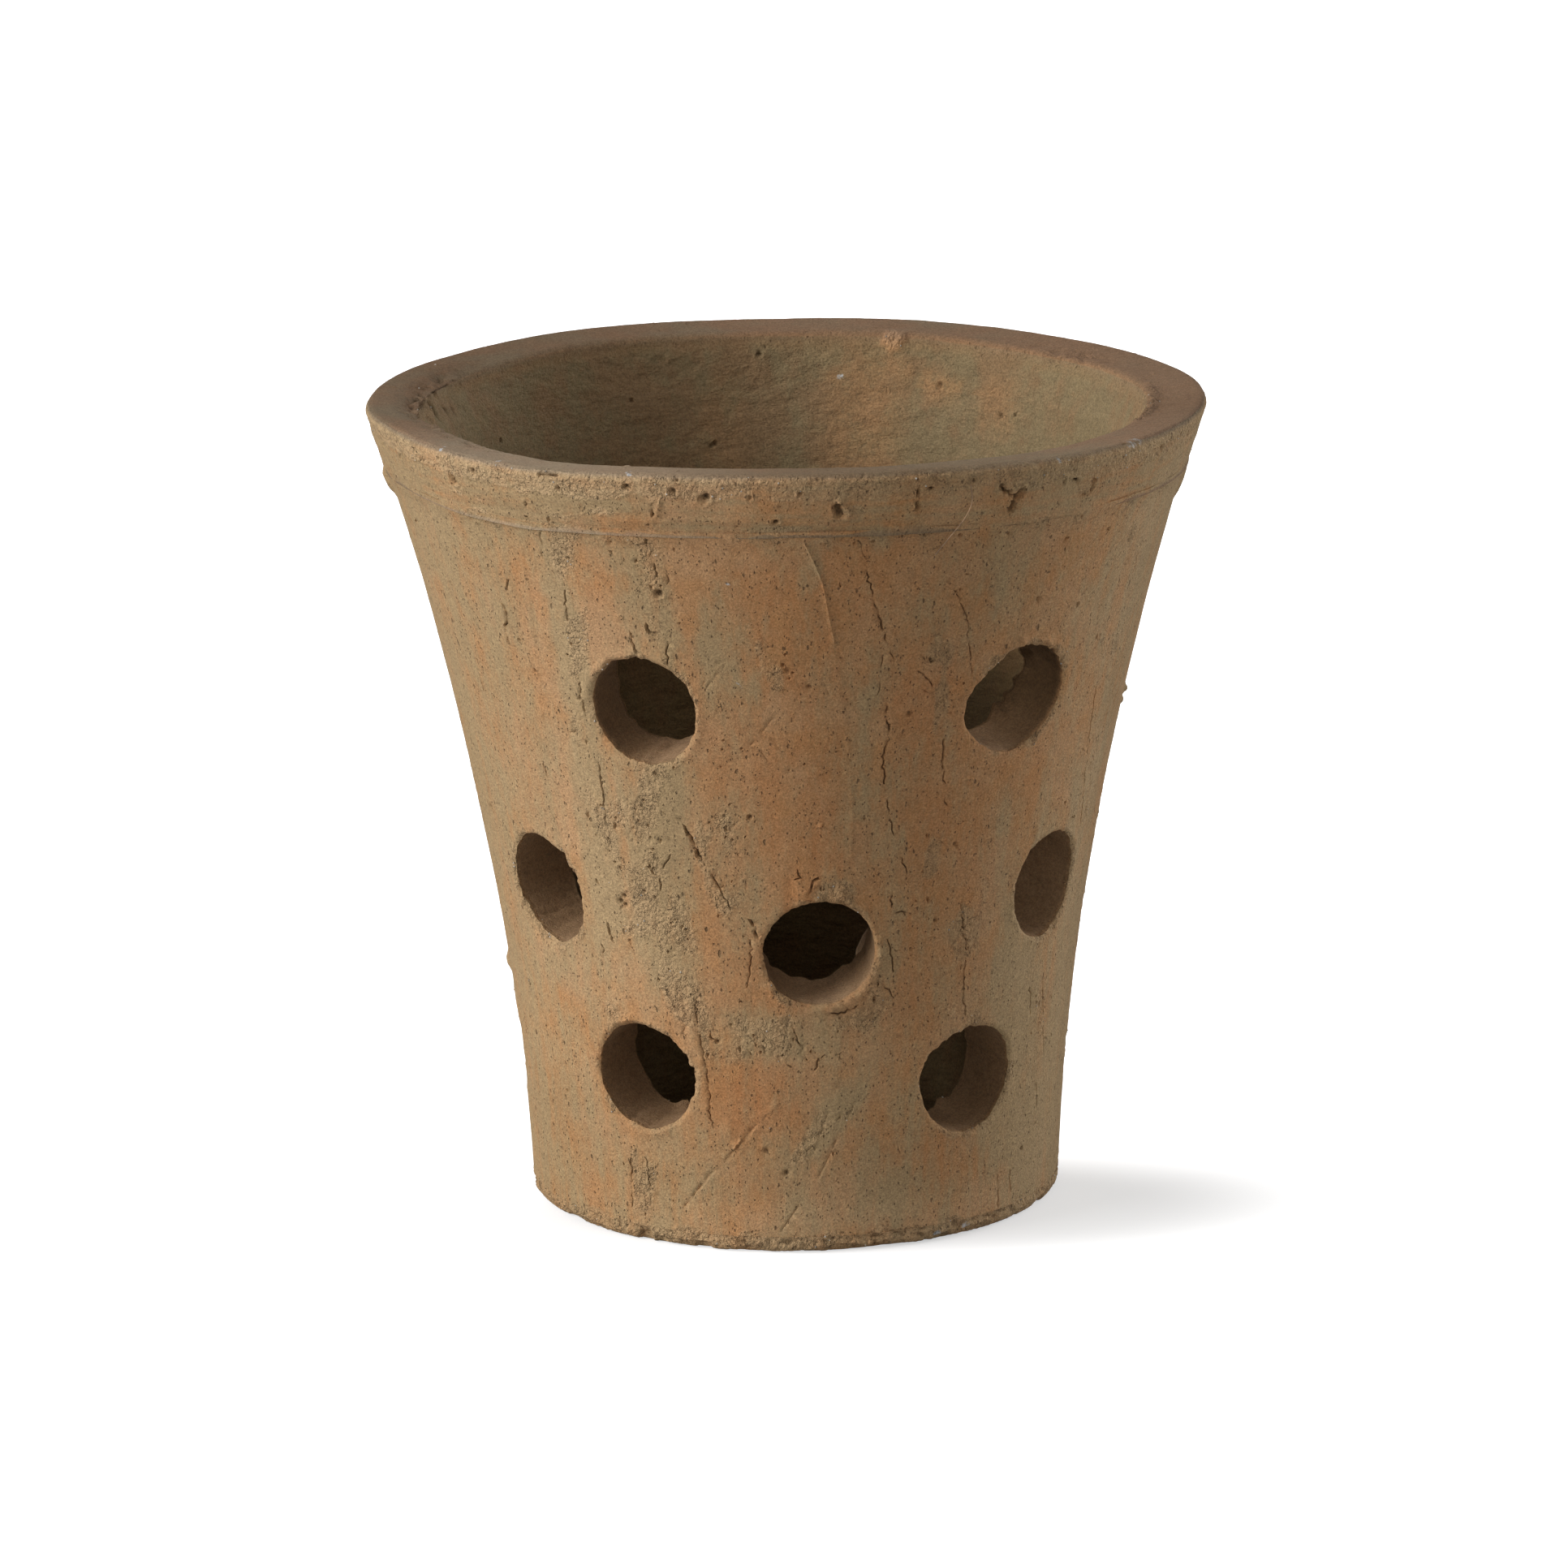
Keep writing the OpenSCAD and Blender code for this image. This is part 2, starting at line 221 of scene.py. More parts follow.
# Redder clay: azimuth, half width in degrees, low and high edge, strength
WARM = [
    (-3, 8, 128, 190, 0.9), (3, 9, 100, 150, 0.8), (8, 28, 60, 190, 0.85), (-8, 11, 32, 52, 1),
    (-28, 7, 195.4, 198.6, 0.8), (6.7, 1.2, 198, 203, 0.9), (32, 1.5, 197, 204, 0.7), (-32, 5, 90, 114, 0.7),
    (-4, 6, 6, 24, 0.55), (28, 9, 10, 34, 0.8), (61, 6, 150, 190, 0.8), (-62, 8, 120, 170, 0.5),
    (22, 6, 110, 150, 0.6), (33, 6, 96, 124, 0.7), (-26, 6, 176, 196, 0.4), (12, 8, 64, 92, 0.4),
    (110, 8, 20, 70, 0.8), (146, 8, 160, 195, 0.8), (186, 9, 100, 140, 0.7), (-140, 9, 40, 110, 0.8),
]
# The rim band: pits as azimuth, height, radius, depth, and forked chips as cracks
BAND_PITS = [
    (-51.4, 202.2, 1, 1.4), (-46.6, 206.3, 1, 1.2), (-31.8, 204.9, 0.8, 1), (-73.8, 203.2, 0.6, 0.9),
    (-64.7, 204.2, 0.6, 0.9), (-60, 207.2, 0.7, 1.1), (-43.1, 207.6, 0.5, 0.8), (-53.6, 207.5, 0.5, 0.8),
    (-45.4, 205.1, 0.5, 0.8), (-58.6, 198, 0.6, 0.9), (-23.8, 208.4, 0.5, 0.8), (-18.6, 208.3, 0.5, 0.8),
    (-38.4, 195.8, 0.5, 0.9), (-38, 194.8, 0.5, 0.9), (-37.8, 200, 0.6, 0.9), (-21.5, 206.5, 0.9, 1.1),
    (-15.1, 205.5, 1.1, 1.3), (-14.5, 208.9, 0.8, 1), (-19.1, 195.9, 0.6, 0.9), (-10.9, 204.2, 1.3, 1.6),
    (-1.6, 197.5, 0.9, 1.4), (6.6, 201.1, 1.3, 1.7), (6.9, 199.8, 1.3, 1.8), (-58.5, 205.2, 0.8, 1.1),
    (-66, 203, 0.7, 1), (-5, 204.2, 0.8, 0.9), (39.8, 203.1, 0.6, 0.9), (42.4, 202.4, 0.6, 0.9), (61, 206, 0.8, 0.9),
    (29.6, 204.2, 1.1, 1.2), (1.6, 205, 0.7, 0.9), (25.2, 206.4, 0.7, 0.9),
]
BAND_CRACKS = [
    (0.6, 1.5, 17.6, 200.2, 17.7, 203.8, 19.2, 205.3), (0.5, 1.3, 17.7, 203.8, 17.3, 206),
    (0.85, 1.8, 31.6, 197.9, 32.1, 201.5, 33.2, 204.3), (0.7, 1.5, 29.8, 203.5, 31.6, 201.3),
    (0.7, 1.5, 46, 197.2, 45.6, 200.4, 45.7, 202), (0.6, 1.3, 41.5, 203.4, 43, 202.2, 44.6, 201.6),
    (0.75, 1.4, -52, 203.6, -51.2, 202, -50.2, 201), (0.8, 1.5, -34.8, 208, -33.2, 208.4, -31.4, 208.9),
    (0.45, 1, 44.1, 197.6, 44, 199.4), (0.3, 0.9, -36.7, 203.6, -36.1, 202.5, -35.7, 201.3, -35.5, 200),
    (0.45, 1.1, -17.4, 203.8, -18, 202.3, -18.2, 200.2, -18.5, 198.9), (0.28, 0.8, -48.8, 205, -46.6, 200),
    (0.22, 0.6, -9, 200, -6.5, 199.4, -4, 199.9),
]
# Clay pushed up beside the marks on the band: half width, height, points
BAND_RIDGES = [
    (0.7, 0.7, 6.9, 202.9, 7.9, 201.4, 8.3, 199.4, 7.9, 197.6), (0.45, 0.4, -16.8, 203.8, -17.3, 202, -17.6, 199.2),
    (0.6, 0.4, 32.8, 198, 33.2, 200.5),
]
# How far the ledge under the band is above its drawn edge at each azimuth
LEDGE_RISE = [
    (-180, 0.3), (-120, 0), (-90, 0.4), (-60, 0.2), (-43, 0.3), (-35, 1.3), (-20, 1.4), (0, 1.5), (17, 1.4),
    (27, 0.3), (36, -0.7), (47, -0.4), (53, 0.9), (64, 0.8), (90, 0), (120, 0.5), (150, 0),
]
# Notches in the foot's lower edge: azimuth, half width in degrees, depth, height reached
FOOT_NOTCHES = [
    (-34.6, 1.9, 2.2, 4.2), (-30.6, 1.5, 0.8, 2.6), (-20.6, 2, 2, 2.8), (18, 2.5, 0.7, 2.5), (-58, 3, 0.6, 3),
    (66, 3, 0.7, 2.4), (120, 2.4, 1.4, 3.6), (-150, 2.2, 1.5, 3.2), (172, 3, 1, 3),
]
# How much the rim rises or dips at each azimuth
RIM_RISE = [
    (-180, 1.1), (-160, 1.5), (-142, 1.5), (-124, 0.6), (-95, 0.4), (-70, 0.9), (-50, -0.4), (-38, -0.9), (-22, 0.2),
    (0, 0.8), (20, 0.6), (34, 0), (60, -0.1), (90, 0.8), (110, 0.4), (140, 0.6), (160, 1.5),
]
# Chips in the rim's top face: azimuth, radius, half width, depth
TOP_CHIPS = [
    (-95.5, 108.4, 2.6, 1.3), (-100.3, 92, 1.9, 1.5), (-83, 92.6, 1.9, 1.5), (-105, 91.4, 0.8, 0.9),
    (-108, 91, 0.9, 0.8), (-112, 90.8, 0.7, 0.7), (-93, 92.6, 0.8, 0.8), (-78, 92.2, 0.9, 0.7), (97, 107, 0.9, 0.9),
    (62, 108.2, 1.2, 0.8), (126, 89.5, 1, 0.6), (132, 88.8, 1.1, 0.6), (-140, 104, 0.7, 0.6), (150, 101, 0.6, 0.5),
    (10, 107.6, 1.2, 0.7), (-20, 108, 1.3, 0.7), (29, 108, 1.2, 0.7), (51.5, 107.6, 1.5, 1.1), (200, 99, 0.7, 0.5),
    (48, 107.8, 1.4, 0.8), (-62, 108.2, 1.3, 0.7),
]
# Where the rim's inner edge has crumbled: azimuth, half width in degrees, low and high edge, strength
LIP_WORN = [(-96, 26, 190, 215, 0.9), (84, 22, 190, 215, 0.25), (-60, 14, 190, 215, 0.5), (128, 12, 190, 215, 0.5)]
# Lighter and darker clay on the wall: azimuth, half width in degrees, low and high edge, share
TONES = [
    (-46, 28, 40, 212, 0.07), (-34, 11, 60, 190, 0.09), (57, 14, 60, 196, 0.09), (60, 14, 4, 60, 0.05),
    (16, 16, 60, 196, -0.08), (33, 9, 165, 196, -0.05), (15, 50, -2, 13, 0.16), (-62, 20, -4, 40, -0.06),
    (80, 9, 4, 212, -0.09), (50, 17, 204, 212, 0.07), (10, 14, 198, 212, -0.07),
]
# White and blue-grey residue on the wall and the band: azimuth, half width, low and high edge, strength
CHALK = [
    (-53.9, 0.7, 209, 210.2, 0.9), (-42.6, 0.6, 209.6, 210.8, 0.8), (-34.1, 0.4, 205.6, 206.4, 0.8),
    (-21.3, 0.5, 209.4, 210.6, 0.9), (54, 2.6, 207.6, 210.8, 0.55), (-8.7, 0.35, 180.6, 181.4, 0.8),
    (-7.9, 0.3, 154, 154.8, 0.7), (16.8, 1.3, 185, 187.6, 0.45), (38, 0.8, 208, 210, 0.6), (31.3, 1.3, 1.2, 3.2, 0.8),
    (39, 1.4, 1.8, 3.8, 0.7), (170.9, 0.9, 196.4, 197.8, 0.8), (-5, 0.4, 33.8, 34.6, 0.7), (150, 1.2, 120, 122, 0.7),
    (-150, 1.4, 60, 62.5, 0.7), (186, 1.2, 178, 180, 0.7),
]
# Cracks in the rim's top face: half width, depth, then azimuth and radius of each point
TOP_CRACKS = [
    (0.5, 0.8, -76, 93.4, -84, 92.8, -91, 93.5, -97, 92.9), (0.4, 0.6, -103, 94.4, -110, 93.6),
    (0.4, 0.5, 70, 95, 78, 94.2, 84, 94.8),
]
# Marks on the wall's inside: pits as azimuth, height, radius, depth; redder and crumbly zones; and lighter or darker
# zones of painted light and shade where the inside shows through the holes
INSIDE_PITS = [
    (139.1, 191, 0.9, 0.9), (136, 191.6, 0.6, 0.8), (152.3, 196.3, 0.9, 0.9), (-152, 193, 0.7, 0.8),
    (-120, 190, 0.7, 0.9), (184.4, 203.2, 0.9, 0.9), (193.1, 180.6, 0.9, 0.9), (-166, 180, 0.7, 0.7),
]
INSIDE_WARM = [(166, 9, 170, 204, 0.4), (152, 4, 192, 199, 0.45), (-168, 5, 160, 196, 0.2), (140, 5, 186, 200, 0.3)]
INNER_CRUMBS = [(84, 17, 199, 214, 1), (-92, 12, 203, 214, 0.7), (-64, 8, 203, 214, 0.5)]
# Painted light and shade on the inner wall seen through the holes: azimuth, half width in degrees, low and high edge,
# share
INSIDE_LIGHT_AND_SHADE = [
    (208, 16, 92, 126, 0.85), (217, 18, 8, 34, 1.2), (172, 14, 20, 60, 0.2), (141, 18, 6, 32, 0.9),
    (135, 16, 98, 132, -0.35), (110, 40, 150, 200, -0.08),
]
# The dry plant fibre: azimuth and height of each point, and how far it stands off the clay
FIBRE = [(24.6, 205.9, 0.5), (24.9, 201.5, 1.2), (24.3, 197.4, 0.9), (22.6, 192.2, 1.1), (20.9, 187.4, 0.5)]
# A lump of clay on the rim's inside: azimuth and height
RIM_LUMP = (161.6, 206.8)
# Pores too small to model: cells in a metre, edges of a pore, calm and torn share left out, stretch
PORES = [
    (1150.0, 0.18, 0.40, 0.985, 0.945, (1, 1, 0.5)), (620.0, 0.12, 0.30, 0.995, 0.97, (1, 1, 0.42)),
    (2100.0, 0.2, 0.46, 0.92, 0.93, (1, 1, 0.6)),
]

WHITE = (1.0, 1.0, 1.0, 1.0)
# The camera that fits the photo's outline: metres, then degrees
CAMERA_AT = (-0.00156, -1.9216, 0.5736)
CAMERA_DOWN, CAMERA_ROLL = 13.65, -0.573
# Where the three lights come from: right, back and up
KEY_FROM, FILL_FROM, OVER_FROM = (-0.951, -0.309, 0.48), (0.883, 0.469, 0.21), (0.1, -0.55, 0.83)
FLOOR_HALF = 12.0
# What each point of the clay is stained by; the dirt stain also carries painted shade in cracks, pits and hollows, and
# the tone stain carries painted light and shade
STAINS = ("torn", "dirt", "film", "warm", "bore", "inside", "top", "chalk", "tone")


def length(name, description, default):
    return bpy.props.FloatProperty(name=name, description=description, default=default, unit="LENGTH")


def angle(name, description, degrees):
    return bpy.props.FloatProperty(
        name=name, description=description, default=math.radians(degrees), subtype="ANGLE")


def strength(name, description, default):
    return bpy.props.FloatProperty(name=name, description=description, default=default, min=0)


def number(name, description, default):
    return bpy.props.IntProperty(name=name, description=description, default=default)


def colour(name, description, value):
    return bpy.props.FloatVectorProperty(
        name=name, description=description, default=value, size=3, subtype="COLOR", min=0, max=1)


class PotForm(bpy.types.PropertyGroup):
    """Sizes of the pot."""

    foot_d: length("Foot diameter", "Outside diameter of the foot", 0.138)
    foot_slope: angle("Foot slope", "Lean of the wall at the foot", 2.7)
    foot_wall: length("Wall at the foot", "Thickness of the wall at the foot", 0.017)
    rim_wall: length("Wall at the rim", "Thickness of the wall at the rim", 0.015)
    band_proud: length("Band proud", "How far the rim band stands out", 0.0008)
    rim_round: length("Rim edge", "Radius worn on the rim's outer edge", 0.002)
    band_fall: length("Band fall", "Fall of the top face to its inner edge", 0.001)
    lip_round: length("Lip edge", "Radius worn on the rim's inner edge", 0.0025)
    foot_round: length("Foot edge", "Radius worn on the foot's edge", 0.0025)
    vent_d: length("Vent hole", "Diameter of the vent holes", 0.0285)
    drain_d: length("Drain hole", "Diameter of the drain hole", 0.0285)
    rim_wave: length("Rim wave", "How far the rim rises and dips", 0.001)
    foot_shift: length("Foot shift", "How far the foot stands to the right", 0.0007)


class PotMesh(bpy.types.PropertyGroup):
    """Spacing of the mesh points."""

    fine: length("Fine spacing", "Spacing in torn clay and at marks", 0.00068)
    middle: length("Middle spacing", "Spacing on the front", 0.00145)
    coarse: length("Coarse spacing", "Spacing on calm clay", 0.0029)
    columns: number("Columns", "Points round the wall and the foot", 840)
    band_columns: number("Band columns", "Points round the rim band", 1200)
    vent_points: number("Vent points", "Points round each vent hole in front", 120)
    seed: number("Seed", "Start of the random marks", 7)


class PotColours(bpy.types.PropertyGroup):
    """Colours of the clay."""

    clay: colour("Clay", "Orange-brown fired clay", (0.462, 0.235, 0.097))
    pale: colour("Pale clay", "Paler, yellower clay", (0.478, 0.278, 0.138))
    warm: colour("Warm clay", "Redder clay where the fire was hotter", (0.475, 0.212, 0.082))
    film: colour("Film", "Greenish-grey weathered film", (0.392, 0.276, 0.143))
    torn: colour("Torn clay", "Gritty clay where the skin is torn", (0.50, 0.332, 0.175))
    # the dirt colour stands for dirt and for painted shade in cracks, pits and gaps between crumbs
    dirt: colour("Dirt_and_shade", "Dirt in cracks and pits", (0.13, 0.080, 0.038))
    top: colour("Rim top", "Reddish-grey clay on the smoothed rim", (0.315, 0.194, 0.122))
    top_grey: colour("Rim top film", "Greyer clay on the smoothed rim", (0.28, 0.212, 0.142))
    inside: colour("Inside", "Greenish-brown clay inside", (0.232, 0.174, 0.091))
    inside_warm: colour("Inside warm", "Browner clay inside", (0.245, 0.155, 0.078))
    bore: colour("Cut clay", "Pinkish-grey clay in the holes", (0.29, 0.178, 0.092))
    bore_dark: colour("Cut clay dark", "Darker clay in the holes", (0.22, 0.130, 0.066))
    grit: colour("Grit", "Pale grains of grit", (0.62, 0.56, 0.47))
    fibre: colour("Fibre", "Dry plant fibre", (0.50, 0.31, 0.17))
    chalk: colour("Chalk", "White and blue-grey residue", (0.55, 0.55, 0.54))
    floor: colour("Studio floor", "Pale studio floor", (0.52, 0.52, 0.52))


class PotStage(bpy.types.PropertyGroup):
    """Light and camera."""

    key: strength("Key light", "Strength of the key light", 3.08)
    key_spread: angle("Key spread", "Angle across the key light", 42)
    fill: strength("Fill light", "Strength of the weak light from the right", 1.95)
    over: strength("Overhead light", "Strength of the broad light from above", 0.5)
    sky: strength("Sky", "Strength of the light all round", 0.12)
    lens: bpy.props.FloatProperty(name="Lens", description="Focal length in mm", default=173.8)


def new_piece(name, data):
    """A new object in the scene."""
    piece = bpy.data.objects.new(name, data)
    bpy.context.scene.collection.objects.link(piece)
    return piece


def frozen(piece, name):
    """A plain mesh of what a piece comes to, in its place."""
    graph = bpy.context.evaluated_depsgraph_get()
    graph.update()
    mesh = bpy.data.meshes.new_from_object(piece.evaluated_get(graph), depsgraph=graph)
    mesh.name = name
    bpy.data.objects.remove(piece)
    return mesh


def settings():
    """The four groups of settings."""
    scene = bpy.context.scene
    return scene.pot_form, scene.pot_mesh, scene.pot_colours, scene.pot_stage


# Noise and small shapes


class Lumps:
    """Seeded smooth noise at points in millimetres, about -1 to 1."""

    def __init__(self, seed):
        draw = np.random.default_rng(seed)
        self.order = np.tile(draw.permutation(256), 3)
        ways = draw.normal(size=(256, 3))
        self.ways = ways / np.linalg.norm(ways, axis=1, keepdims=True)

    def at(self, points, size):
        """Noise whose lumps are about size millimetres long, one number or one for each axis."""
        scaled = points / np.asarray(size, float)
        cell = np.floor(scaled).astype(int)
        part = scaled - cell
        ease = part**3 * (part * (part * 6 - 15) + 10)
        total = np.zeros(len(points))
        for corner in itertools.product((0, 1), repeat=3):
            spot = (cell + corner) & 255
            pick = self.order[self.order[self.order[spot[:, 0]] + spot[:, 1]] + spot[:, 2]]
            share = np.where(corner, ease, 1 - ease).prod(1)
            total += share * ((part - corner) * self.ways[pick]).sum(1)
        return total * 1.7

    def rough(self, points, size, octaves):
        """Several sizes of lumps, each half the last."""
        size = np.asarray(size, float)
        return sum(self.at(points + 31.7 * n, size / 2**n) / 2**n for n in range(octaves))

    def crumbs(self, points, size, octaves=2):
        """Rounded crumbs with narrow gaps between them, at most 0.5."""
        return 0.5 - np.abs(self.rough(points, size, octaves))


def smooth(value, low, high):
    """0 below low, 1 above high, eased between."""
    t = np.clip((value - low) / (high - low), 0, 1)
    return t * t * (3 - 2 * t)


def wrap(degrees):
    """An angle from -180 to 180."""
    return (np.asarray(degrees) + 180) % 360 - 180


def sector(az, middle, half):
    """1 round the pot near an azimuth, 0 well beyond half a width from it."""
    return 1 - smooth(np.abs(wrap(az - middle)), half * 0.35, half * 1.25)


def zone(az, z, zones, blur=3.0):
    """The strongest of some zones, each an azimuth, half width, low and high edge, strength and maybe a lean."""
    found = np.zeros(len(az))
    for middle, half, low, high, strength, *lean in zones:
        if lean:
            middle = middle + lean[0] * (z - (low + high) / 2)
        soft = min(blur, (high - low) / 3)
        along = smooth(z, low - soft, low + soft) * (1 - smooth(z, high - soft, high + soft))
        found = np.maximum(found, strength * sector(az, middle, half) * along)
    return found


def tones(az, z, zones, blur=9.0):
    """1, more in light zones and less in dark ones."""
    return 1 + sum(share * zone(az, z, [(*place, 1.0)], blur) for *place, share in zones)


def stain_set(count, **given):
    """Every stain of some points, none where it isn't given."""
    return {key: np.zeros(count) + given.get(key, 0.0) for key in STAINS}


def home(az):
    """An azimuth from SEAM up to one turn past it."""
    return (np.asarray(az) - SEAM) % 360 + SEAM


def across_and_up(rows):
    """Flat rows of marks, each as half width, depth or height, and its points."""
    return [(half, deep, list(zip(path[::2], path[1::2]))) for half, deep, *path in rows]


def jagged(line, draw, step, swing):
    """A marked line with small sideways bends about every step millimetres."""
    path = []
    for (az0, z0), (az1, z1) in zip(line[:-1], line[1:]):
        across, up = math.radians(az1 - az0) * PLAN_R, z1 - z0
        length = math.hypot(across, up)
        count = max(1, round(length / step))
        for i in range(count):
            shift = draw.normal(0, swing) / length
            spot = np.array([across, up]) * i / count + np.array([-up, across]) * shift
            path.append((float(home(az0)) + math.degrees(spot[0] / PLAN_R), z0 + spot[1]))
    return path + [(float(home(line[-1][0])), line[-1][1])]


def reach(points):
    """How far each point is from the pot's axis."""
    return np.hypot(points[:, 0], points[:, 1])


def line_gap(az, z, radius, path):
    """The points near a marked line, and how far each of them is from it in millimetres."""
    path = np.asarray(path, float)
    path[:, 0] = home(path[:, 0])
    low, high = path.min(0) - (4, 5), path.max(0) + (4, 5)
    near = np.flatnonzero((az > low[0]) & (az < high[0]) & (z > low[1]) & (z < high[1]))
    gap = np.full(len(near), 1e3)
    for (az0, z0), (az1, z1) in zip(path[:-1], path[1:]):
        x, y = np.radians(az[near] - az0) * radius[near], z[near] - z0
        dx, dy = np.radians(az1 - az0) * radius[near], z1 - z0
        t = np.clip((x * dx + y * dy) / (dx * dx + dy * dy), 0, 1)
        gap = np.minimum(gap, np.hypot(x - t * dx, y - t * dy))
    return near, gap


def spot_gap(az, z, radius, spot):
    """The points near a spot, and how far each of them is from it in millimetres."""
    return line_gap(az, z, radius, [spot[:2], (spot[0], spot[1] + 0.01)])


class Flare:
    """One face of the wall in section: an arc that leaves the foot at a slope and reaches the rim."""

    def __init__(self, foot_r, rim_r, rise, slope):
        end = 2 * math.atan((rim_r - foot_r) / rise) - slope
        self.arc = rise / (math.sin(end) - math.sin(slope))
        self.x = foot_r + self.arc * math.cos(slope)
        self.z = -self.arc * math.sin(slope)

    def radius(self, z):
        return self.x - np.sqrt(self.arc**2 - (z - self.z) ** 2)

    def lean(self, z):
        return np.arcsin((z - self.z) / self.arc)

    def place(self, az, z, proud=0.0):
        """Points at an azimuth and a height, moved square to the face by proud."""
        lean, turn = self.lean(z), np.radians(az)
        radius = self.radius(z) + proud * np.cos(lean)
        return np.stack([radius * np.sin(turn), -radius * np.cos(turn), z - proud * np.sin(lean)], -1)


def faces_of_wall(form):
    """The wall's outer and inner face."""
    rise = HEIGHT - form.rim_round / MM
    foot_r = form.foot_d / 2 / MM
    outer = Flare(foot_r, RIM_R - form.band_proud / MM, rise, form.foot_slope)
    inner = Flare(foot_r - form.foot_wall / MM, RIM_R - form.rim_wall / MM, rise, form.foot_slope)
    return outer, inner


class Vent:
    """A hole cut through the wall, square to it, a little ragged."""

    def __init__(self, az, z, radius, outer, inner, lumps):
        lean, turn = outer.lean(z), math.radians(az)
        middle = (outer.radius(z) + inner.radius(z)) / 2
        out = np.array([math.sin(turn), -math.cos(turn), 0])
        self.centre = middle * out + [0, 0, z]
        self.axis = math.cos(lean) * out - [0, 0, math.sin(lean)]
        self.side = np.array([math.cos(turn), math.sin(turn), 0])
        self.up = np.cross(self.axis, self.side)
        self.out = out
        self.turns = np.linspace(-math.pi, math.pi, 721)
        ring = radius * np.stack([np.cos(self.turns), np.sin(self.turns), 0 * self.turns], -1) + self.centre
        self.radii = radius + 0.35 * lumps.at(ring, 17) + 0.2 * lumps.at(ring, 4.5)
        self.radii += (0.2 + 0.15 * lumps.at(ring + 20, 14)) * lumps.rough(ring, 2, 2)
        self.teeth = lumps.rough(ring + 70, 2.1, 2) - 0.4 * np.abs(lumps.at(ring + 90, 1.3))
        self.wear, self.lip, self.burr, self.tone = (np.full(len(self.turns), v) for v in (0.0, 0.0, 0.0, 1.0))

    def part(self, turn, half):
        """1 round one angle, 0 beyond half a width from it."""
        return 1 - smooth(np.abs(wrap(np.degrees(self.turns) - turn)), 0.2 * half, half)

    def look_up(self, key, turn):
        return np.interp(turn, self.turns, getattr(self, key), period=2 * math.pi)

    def ring(self, density):
        """Angles of the points round the hole, more of them in front."""
        count = density.vent_points if self.out[1] < -0.45 else density.vent_points // 2
        return np.linspace(0, 2 * math.pi, count, endpoint=False)

    def radius(self, turn):
        """The cut's radius at an angle round it."""
        return self.look_up("radii", turn)

    def from_axis(self, points):
        """Distance from the axis, and angle round it."""
        gap = points - self.centre
        x, y = gap @ self.side, gap @ self.up
        return np.hypot(x, y), np.arctan2(y, x)

    def meet(self, face, turn, radius):
        """Where lines along the cut meet a face of the wall."""
        line = self.centre + radius[:, None] * (
            np.cos(turn)[:, None] * self.side + np.sin(turn)[:, None] * self.up)
        for _ in range(8):
            gap = face.radius(line[:, 2]) - reach(line)
            line = line + gap[:, None] * self.axis
        return line


def edge_gap(points, vents, **along):
    """How far each point is outside the nearest vent hole's edge. Fills in what is asked of that edge."""
    gap = np.full(len(points), 1e3)
    for vent in vents:
        near = np.flatnonzero(points @ vent.out > 0)
        far, turn = vent.from_axis(points[near])
        far = far - vent.radius(turn)
        for key, values in along.items():
            values[near] = np.where(far < gap[near], vent.look_up(key, turn), values[near])
        gap[near] = np.minimum(gap[near], far)
    return gap


def az_of(points):
    """Azimuths from SEAM up to one turn past it."""
    return home(np.degrees(np.arctan2(points[:, 0], -points[:, 1])))


# How the clay's surface stands out from its smooth form


